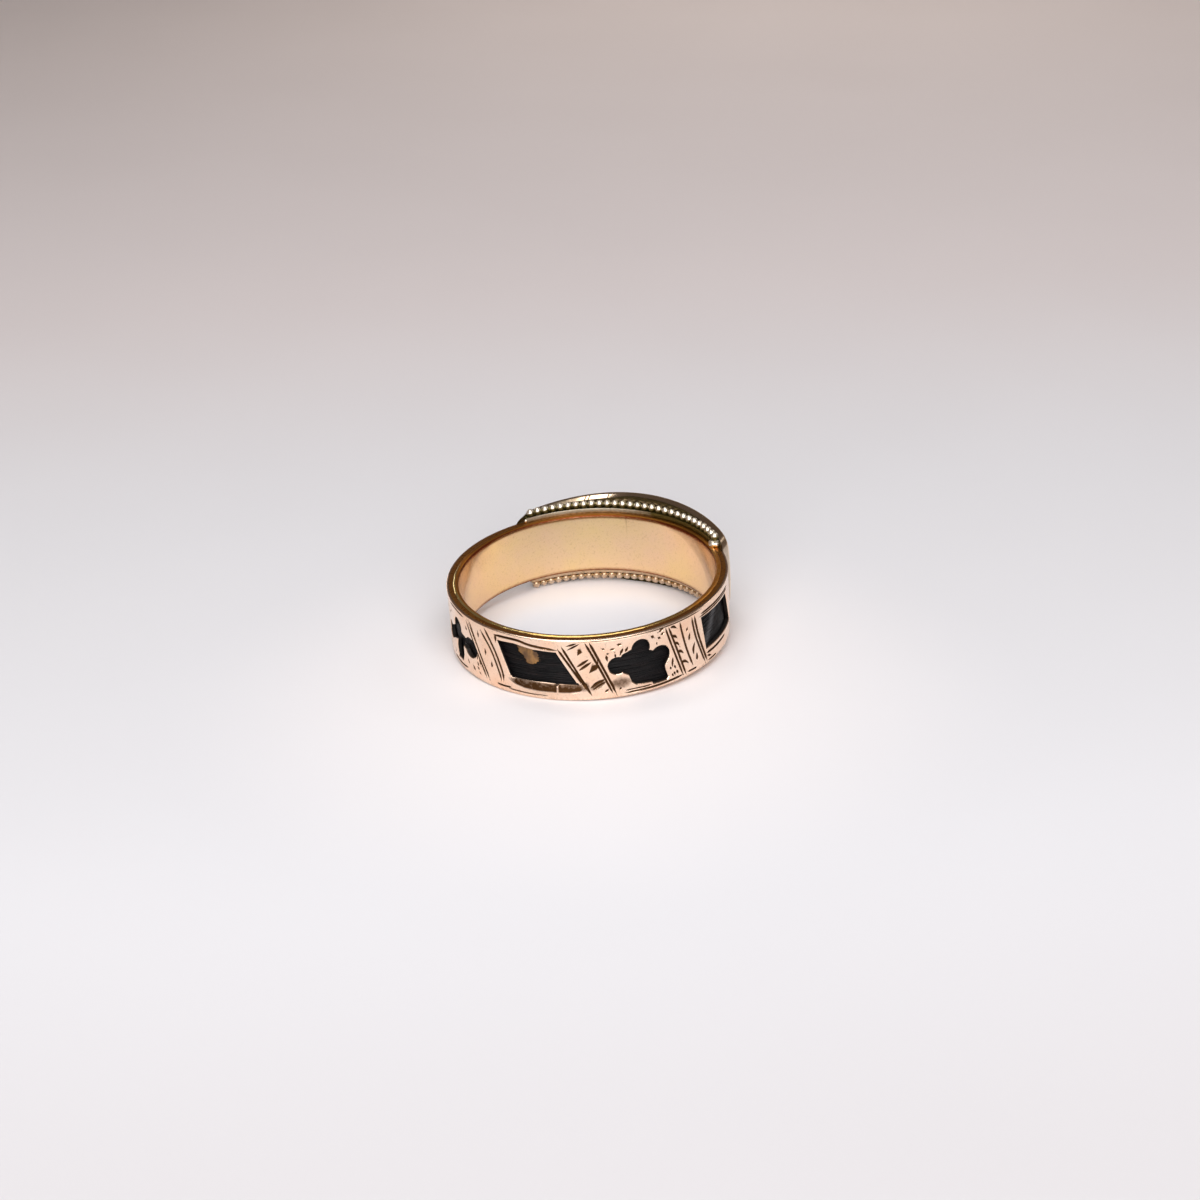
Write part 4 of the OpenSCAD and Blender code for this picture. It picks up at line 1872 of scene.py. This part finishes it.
@dataclass
class HeadPlate:
    """The boat-shaped domed plate of the head."""

    sizes: RingSizes
    finishes: Finishes
    bevel: float = 0.09
    columns: int = 360
    rows: int = 24
    rounds: int = 5
    rim_tilt: float = 0.4
    rim_start: float = 0.3
    rim_middle: float = 2.9
    rim_reach: Point = (2.1, 4.4)
    # Painted shade that darkens the rim away from its highlight: where it starts towards the outer end
    # and how softly, then its strength on each side
    rim_shade_ramp: Point = (3.5, 1.1)
    rim_painted_shade: Point = (0.19, 0.26)
    # Rim rows from front to back with their least darkness: a slight darkening at the front, and painted
    # shade on the last row where the rim meets the band
    rim_rows: tuple[Point, ...] = ((0.15, 0.1), (0.3, 0.06), (0.45, 0.0), (0.65, 0.0), (0.88, 0.05),
                                   (1.0, 0.5))
    nicks: tuple[float, ...] = (3.83, 3.58, 2.26)
    nick_half: float = 0.03
    nick_tone: float = 0.55
    wave_depth: float = 0.012
    # The plate's back: its inset, its painted shade, its sink into the band and its gap
    back_inset: float = 0.3
    back_shade: float = 0.3
    back_sink: float = 0.05
    back_gap: float = 0.02

    def half_width(self, x: float, inset: float) -> float:
        """Gives half of the plate's width at a place along it.

        Args:
            x: Place along the plate from its middle.
            inset: How far the outline is moved inwards.

        Returns:
            Half of the width there.
        """
        s = self.sizes
        half_len, half_mid = s.head_len / 2, s.head_mid_w / 2
        swell = half_mid - s.head_end_w / 2
        side_r = (half_len ** 2 + swell ** 2) / (2 * swell)
        corner_x = half_len - s.corner_r
        base = half_mid - side_r
        corner_z = base + math.sqrt((side_r - s.corner_r) ** 2 - corner_x ** 2)
        reach = abs(x)
        small_r = s.corner_r - inset
        touch_x = corner_x + (corner_x / (side_r - s.corner_r)) * small_r
        if reach > touch_x:
            return corner_z + math.sqrt(max(small_r ** 2 - (reach - corner_x) ** 2, 0.0))
        return base + math.sqrt((side_r - inset) ** 2 - reach ** 2)

    def across(self, place: Place, inset: float) -> Point:
        """Gives a place of the plate's grid as x and z, for an outline moved inwards."""
        i, j = place
        turn = math.pi * (i / self.columns - 0.5)
        x = (self.sizes.head_len / 2 - inset) * math.sin(turn)
        return x, self.half_width(x, inset) * (2 * j / self.rows - 1)

    def dome_y(self, x: float, z: float) -> float:
        """Gives the y of the domed face."""
        s = self.sizes
        radius = s.rim_r + s.dome_h * (1 - (z / (s.head_mid_w / 2)) ** 2)
        wave = self.wave_depth * waviness(Vector((x, 0, z)), 2.6, 4.0)
        return -s.head_lead - math.sqrt((radius - wave) ** 2 - x ** 2)

    def back_y(self, x: float) -> float:
        """Gives the y of the back, which is sunk a little into the band."""
        return -math.sqrt((self.sizes.outer_r - self.back_sink) ** 2 - x ** 2)

    def border(self) -> list[Place]:
        """Lists the grid's border places in order."""
        top = [(i, self.rows) for i in range(self.columns)]
        right = [(self.columns, j) for j in range(self.rows, 0, -1)]
        low = [(i, 0) for i in range(self.columns, 0, -1)]
        left = [(0, j) for j in range(self.rows)]
        return top + right + low + left

    def build(self) -> Piece:
        """Makes the plate.

        Returns:
            The finished piece.
        """
        shell = Shell()
        border = self.border()
        front = self.grid(shell, self.dome_y, self.bevel, 0.0)
        back = self.grid(shell, lambda x, z: self.back_y(x), self.back_inset, self.back_shade)
        ring = [front[place] for place in border]
        for step in range(1, self.rounds + 1):
            turn = math.pi / 2 * step / self.rounds
            inset = self.bevel * (1 - math.sin(turn))
            drop = self.bevel * (1 - math.cos(turn))
            row = []
            for place in border:
                x, z = self.across(place, inset)
                row.append(shell.point((x, self.dome_y(x, z) + drop, z)))
            shell.strip(ring, row, closed=True)
            ring = row
        for share, tone in self.rim_rows:
            row = [self.rim_point(shell, place, share, tone) for place in border]
            shell.strip(ring, row, closed=True)
            ring = row
        shell.strip(ring, [back[place] for place in border], closed=True)
        piece = shell.finish("head_plate", [self.finishes.head.material()], sharp=50)
        return settle(piece, Slot.BAND, Node.BAND)

    def rim_point(self, shell: Shell, place: Place, share: float, tone: float) -> Vertex:
        """Adds a point of the plate's rim.

        Args:
            shell: Shell to add to.
            place: Column and row of the border's place.
            share: How far back the point lies, from 0 at the front to 1.
            tone: Least darkness of the metal.

        Returns:
            The new point.
        """
        x, z = self.across(place, 0.0)
        front_y = self.dome_y(x, z) + self.bevel
        deep = self.back_y(x) - self.back_gap - front_y
        reach = self.rim_reach[int(x > self.rim_middle)]
        bright = max(0.0, 1 - ((x - self.rim_middle) / reach) ** 2)
        worn = self.rim_tilt * deep * max(0.0, share - self.rim_start) * bright
        # Painted shade away from the highlight, and the dark nicks
        dull = self.rim_painted_shade[0] * (x < self.rim_middle) * (1 - bright)
        dull += self.rim_painted_shade[1] * clamp((x - self.rim_shade_ramp[0]) / self.rim_shade_ramp[1])
        near = min(abs(x - nick) for nick in self.nicks) < self.nick_half
        spot = (x, front_y + deep * share, z - math.copysign(worn, z))
        return shell.point(spot, max(tone, dull, self.nick_tone * near))

    def grid(self, shell: Shell, depth: Callable[[float, float], float], inset: float,
             tone: float) -> dict[Place, Vertex]:
        """Adds one face of the plate.

        Args:
            shell: Shell to add to.
            depth: Gives the y at an x and z.
            inset: How far the outline is moved inwards.
            tone: How dark the metal is.

        Returns:
            The grid's points by their place.
        """
        points = {}
        for i in range(self.columns + 1):
            for j in range(self.rows + 1):
                x, z = self.across((i, j), inset)
                points[i, j] = shell.point((x, depth(x, z), z), tone)
        for i in range(self.columns):
            for j in range(self.rows):
                shell.face((points[i, j], points[i + 1, j], points[i + 1, j + 1], points[i, j + 1]))
        return points


@dataclass
class BeadSeats:
    """The narrow ledge under a row of beads, with solder at both ends or, below, at one."""

    sizes: RingSizes
    finishes: Finishes
    row: Row
    bevel: float = 0.05
    lap: float = 0.05
    steps: int = 150
    # Painted shade on the ledge: darkness at each corner of the upper profile, the lower ledge's even
    # darkness, and a darkening of the upper ledge that grows along it from a start
    upper_seat_shades: tuple[float, ...] = (0.3, 0.42, 0.42, 0.42, 0.22, 0.14)
    underside_shade: float = 0.24
    shade: float = 0.42
    shade_slope: float = 2.2
    shade_start: float = 0.42

    def build(self) -> Piece:
        """Makes the ledge on one side of the band.

        Returns:
            The finished piece.
        """
        s = self.sizes
        upper = self.row is Row.UPPER
        low, high = s.half_w - self.lap, s.half_w + s.seat_h
        inner, outer = s.outer_r - s.seat_w, s.outer_r + self.lap
        b = self.bevel
        profile = [(inner, low), (outer, low), (outer, high), (inner + b, high),
                   (inner + 0.3 * b, high - 0.3 * b), (inner, high - b)]
        dark = self.upper_seat_shades if upper else [self.underside_shade] * len(profile)
        reach = s.bead_reach + math.degrees(s.bead_d / 2 / s.outer_r)
        shell = Shell()
        rows = []
        for i in range(self.steps + 1):
            share = i / self.steps
            az = 180 + reach * (2 * i / self.steps - 1)
            # Painted shade that grows along the upper ledge from a start
            least = min(self.shade, max(0.0, self.shade_slope * (share - self.shade_start)))
            rows.append([shell.point(around(r, az, self.row.value * z), max(tone, least * upper))
                         for (r, z), tone in zip(profile, dark)])
        for first, second in zip(rows, rows[1:]):
            shell.strip(first, second, closed=True)
        shell.face(rows[0])
        shell.face(rows[-1])
        self.solder(shell, 180 + reach - 1.8, (0.42, 0.45, 0.24), 0.18)
        if upper:
            self.solder(shell, 180 - reach + 1.2, (0.32, 0.16, 0.16), 0.24)
        material = self.finishes.of_row(self.row).material()
        piece = shell.finish(f"bead_seat_{self.row.word}", [material])
        return settle(piece, Slot.BAND, Node.BAND)

    def solder(self, shell: Shell, az: float, size: Triple, sink: float) -> None:
        """Adds a drop of solder to the ledge.

        Args:
            shell: Shell to add to.
            az: Where it is round the finger.
            size: Half of its length round the finger, of its depth and of its height.
            sink: How far its middle lies below the ledge's top.
        """
        s = self.sizes
        centre = around(s.row_r - 0.06, az, self.row.value * (s.half_w + s.seat_h - sink))
        drop = bmesh.ops.create_uvsphere(shell.mesh, u_segments=20, v_segments=12, radius=1.0)
        turn = Matrix.Rotation(math.radians(-az), 3, "Z")
        for vertex in drop["verts"]:
            bump = 1 + 0.3 * (waviness(vertex.co, 0.7, az) - 0.5)
            stretched = Vector([side * half for side, half in zip(vertex.co, size)]) * bump
            vertex.co = centre + turn @ stretched
        for face in {face for vertex in drop["verts"] for face in vertex.link_faces}:
            face.smooth = True


@dataclass
class BeadedWire:
    """A row of beads on their wire."""

    sizes: RingSizes
    finishes: Finishes
    row: Row
    core_r: float = 0.15
    # Painted shade on the wire between the beads
    core_shade: float = 0.36
    core_steps: int = 120
    core_sides: int = 12
    bead_facets: Place = (18, 12)
    bead_sizes: Point = (0.93, 1.0)
    bead_heights: Point = (0.9, 1.0)
    # Painted light and shade on each bead: bright facing this side and dark away from it, by slope and
    # middle for each row, up to a most
    lit_side: Triple = (0.0, 0.4, 0.92)
    upper_shade: Point = (-1.0, 0.72)
    lower_shade: Point = (0.1, 0.16)
    most_shade: float = 0.6
    seed: int = 3
    next_seed: int = 11

    def build(self) -> Piece:
        """Makes the wire with geometry nodes.

        Returns:
            The finished piece.
        """
        s = self.sizes
        name = f"beaded_wire_{self.row.word}"
        maker = GeometryMaker(name)
        side = maker.count("Beads on each side", s.side_beads)
        step = maker.size("Angle from bead to bead", s.bead_step)
        row_r = maker.size("Row radius", s.row_r)
        row_z = maker.size("Row height", self.row.value * s.row_z)
        bead_r = maker.size("Bead radius", s.bead_d / 2)
        core_r = maker.size("Core radius", self.core_r)
        seed = maker.count("Seed", self.seed + self.row.value)
        spots = maker.geometry("MeshLine", {"Count": maker.math("MULTIPLY_ADD", side, 2, 1)})
        index = maker.geometry("InputIndex")
        place = maker.math("MULTIPLY", maker.math("SUBTRACT", index, side), step)
        turn = maker.math("RADIANS", maker.math("ADD", place, 180.0))
        laid = maker.lay(spots, row_r, turn, row_z)
        facets, rings = self.bead_facets
        ball = maker.geometry("MeshUVSphere", {"Segments": facets, "Rings": rings, "Radius": bead_r})
        # Painted light and shade on each bead by how far it faces the lit side
        height = maker.measure("DOT_PRODUCT", maker.geometry("InputPosition"), self.lit_side)
        slope, middle = self.upper_shade if self.row is Row.UPPER else self.lower_shade
        shadow = maker.math("MULTIPLY_ADD", maker.math("DIVIDE", height, bead_r), slope, middle)
        tinted = maker.mark(ball, TARNISH_AND_SHADE, maker.kept(shadow, 0.0, self.most_shade))
        size = maker.random(*self.bead_sizes, seed)
        flat = maker.random(*self.bead_heights, maker.math("ADD", seed, self.next_seed))
        scale = maker.out("ShaderNodeCombineXYZ", {"X": size, "Y": size, "Z": flat})
        beads = maker.geometry("InstanceOnPoints", {
            "Points": laid, "Instance": tinted, "Scale": scale})
        reach = maker.math("RADIANS", maker.math("MULTIPLY", side, step))
        arc = maker.geometry("CurveArc", {
            "Resolution": self.core_steps, "Radius": row_r,
            "Start Angle": maker.math("SUBTRACT", -math.pi / 2, reach),
            "Sweep Angle": maker.math("MULTIPLY", reach, 2.0)}, mode="RADIUS")
        core = maker.mark(maker.wire(arc, core_r, self.core_sides), TARNISH_AND_SHADE, self.core_shade)
        shift = maker.out("ShaderNodeCombineXYZ", {"Z": row_z})
        raised = maker.geometry("Transform", {"Geometry": core, "Translation": shift})
        both = maker.add("GeometryNodeJoinGeometry")
        for made in (beads, raised):
            maker.tree.links.new(made, both.inputs[0])
        start = new_object(name, bpy.data.meshes.new(name))
        material = self.finishes.of_row(self.row).material()
        return settle(maker.finish(start, both.outputs[0], material), Slot.BAND, Node.BAND)


@dataclass(frozen=True)
class Softbox:
    """A soft light: where it is from the ring, its size, its strength and its spread."""

    azimuth: float
    elevation: float
    distance: float
    size: Point
    power: float
    colour: Triple = (1.0, 1.0, 1.0)
    spread: float = 180.0
    faces_down: bool = False


@dataclass
class Studio:
    """The pale floor, the soft lights and the camera at the photograph's angle."""

    rest_front: Point = (-10.3, -3.4)
    rest_back: Point = (9.4, -2.25)
    floor_reach: float = 1500.0
    camera_up: float = 28.82
    camera_roll: float = -4.25
    camera_far: float = 142.5
    camera_aim_z: float = -2.25
    focal_pixels: float = 2083.5
    frame_pixels: int = 1200
    aim_pixels: Point = (-8.8, -29.4)
    sensor: float = 36.0
    clip: Point = (0.01, 10.0)
    room_back: float = 0.5
    room_front: float = 1.0
    room_stops: tuple[tuple[float, Triple], ...] = (
        (0.0, (0.42, 0.36, 0.33)), (0.15, (0.32, 0.26, 0.23)), (0.35, (0.27, 0.21, 0.17)),
        (0.7, (0.2, 0.16, 0.14)), (1.0, (0.4, 0.38, 0.37)))
    boxes: tuple[Softbox, ...] = (
        Softbox(-25, 67, 240, (260, 200), 0.34, (1.0, 0.995, 1.0)),
        Softbox(-25, 30, 270, (320, 140), 0.525, (1.0, 0.995, 1.0)),
        Softbox(132, 64, 260, (90, 70), 0.075, (1.0, 0.98, 0.96)),
        Softbox(-150, 35, 300, (120, 80), 0.05, (1.0, 0.96, 0.93)),
        Softbox(126, 8, 600, (170, 60), 0.1, (1.0, 0.96, 0.93)),
        Softbox(165, 34.6, 352, (140, 100), 0.057, (1.0, 0.88, 0.76), 100.0, True),
    )

    def build(self) -> None:
        """Makes the floor, the world, the lights and the camera."""
        self.lay_floor()
        self.light_world()
        for number, box in enumerate(self.boxes):
            self.hang(number, box)
        self.set_camera()

    def lay_floor(self) -> None:
        """Lays the floor that the ring rests on, tilted because the head lifts the front."""
        (front_y, front_z), (back_y, back_z) = self.rest_front, self.rest_back
        slope = (back_z - front_z) / (back_y - front_y)
        reach = self.floor_reach
        corners = [Vector((x, y, front_z + slope * (y - front_y))) * MM
                   for x, y in ((-reach, -reach), (reach, -reach), (reach, reach), (-reach, reach))]
        data = bpy.data.meshes.new("floor")
        data.from_pydata(corners, [], [(0, 1, 2, 3)])
        data.materials.append(FloorFinish("pale_board").material())
        new_object("floor", data)

    def light_world(self) -> None:
        """Fills the room with a dim light that is brighter near the floor and in front."""
        world = bpy.data.worlds.new("soft_room")
        world.use_nodes = True
        bpy.context.scene.world = world
        maker = NodeTree(world.node_tree)
        direction = maker.out("ShaderNodeTexCoord", result="Generated")
        height = maker.out("ShaderNodeSeparateXYZ", {"Vector": direction}, "Z")
        ramp = maker.add("ShaderNodeValToRGB", {"Fac": height})
        elements = ramp.color_ramp.elements
        while len(elements) < len(self.room_stops):
            elements.new(0.5)
        for element, (place, colour) in zip(elements, self.room_stops):
            element.position = place
            element.color = (*colour, 1.0)
        forward = maker.measure("DOT_PRODUCT", direction, around(1.0, FRONT_AZ, 0.0))
        strength = maker.out("ShaderNodeMapRange", {
            "Value": forward, "From Min": -1.0, "From Max": 1.0,
            "To Min": self.room_back, "To Max": self.room_front}, "Result")
        background = world.node_tree.nodes["Background"]
        world.node_tree.links.new(ramp.outputs["Color"], background.inputs["Color"])
        world.node_tree.links.new(strength, background.inputs["Strength"])

    def hang(self, number: int, box: Softbox) -> None:
        """Hangs a soft light that faces the ring or the floor below it.

        Args:
            number: Its place among the lights.
            box: The light.
        """
        data = bpy.data.lights.new(f"softbox_{number}", "AREA")
        data.shape = "RECTANGLE"
        data.size, data.size_y = (side * MM for side in box.size)
        data.energy = box.power
        data.color = box.colour
        data.spread = math.radians(box.spread)
        lamp = new_object(data.name, data)
        up = math.radians(box.elevation)
        place = around(box.distance * math.cos(up), box.azimuth, box.distance * math.sin(up))
        lamp.location = place * MM
        if not box.faces_down:
            lamp.rotation_euler = place.to_track_quat("Z", "Y").to_euler()

    def set_camera(self) -> None:
        """Sets the camera where the photograph was taken from."""
        data = bpy.data.cameras.new("camera")
        data.sensor_fit = "HORIZONTAL"
        data.sensor_width = self.sensor
        data.lens = self.focal_pixels / self.frame_pixels * self.sensor
        data.clip_start, data.clip_end = self.clip
        up = math.radians(self.camera_up)
        level = around(1.0, FRONT_AZ, 0.0)
        back = level * math.cos(up) + Vector((0, 0, math.sin(up)))
        right = Vector((0, 0, 1)).cross(back).normalized()
        above = back.cross(right)
        roll = math.radians(self.camera_roll)
        rolled_right = right * math.cos(roll) + above * math.sin(roll)
        rolled_up = above * math.cos(roll) - right * math.sin(roll)
        facing = Matrix((rolled_right, rolled_up, back)).transposed()
        seen = Vector((self.aim_pixels[0], self.aim_pixels[1], -self.focal_pixels)).normalized()
        aim = seen.rotation_difference(Vector((0, 0, -1))).to_matrix()
        place = (Vector((0, 0, self.camera_aim_z)) + back * self.camera_far) * MM
        camera = new_object("camera", data)
        camera.matrix_world = Matrix.Translation(place) @ (facing @ aim).to_4x4()
        bpy.context.scene.camera = camera


def main() -> None:
    """Builds the ring piece by piece, then the studio round it."""
    logging.basicConfig(level=logging.INFO, format="%(message)s")
    sizes = RingSizes.from_frame()
    finishes = Finishes()
    saw = OpeningMaker(sizes.outer_r, 2 * sizes.half_w)
    openings = [*(saw.window(corners) for corners in WINDOWS.values()),
                saw.club(*LEFT_CLUB), saw.club(*RIGHT_CLUB)]
    LinerSleeve(sizes, finishes).build()
    HairBand(sizes, finishes, saw.window(WORN_PATCH)).build()
    PiercedBand(sizes, finishes, openings).build()
    HeadPlate(sizes, finishes).build()
    for row in Row:
        BeadSeats(sizes, finishes, row).build()
        BeadedWire(sizes, finishes, row).build()
    Studio().build()
    bpy.context.scene.view_settings.view_transform = "Standard"


if __name__ == "__main__":
    main()
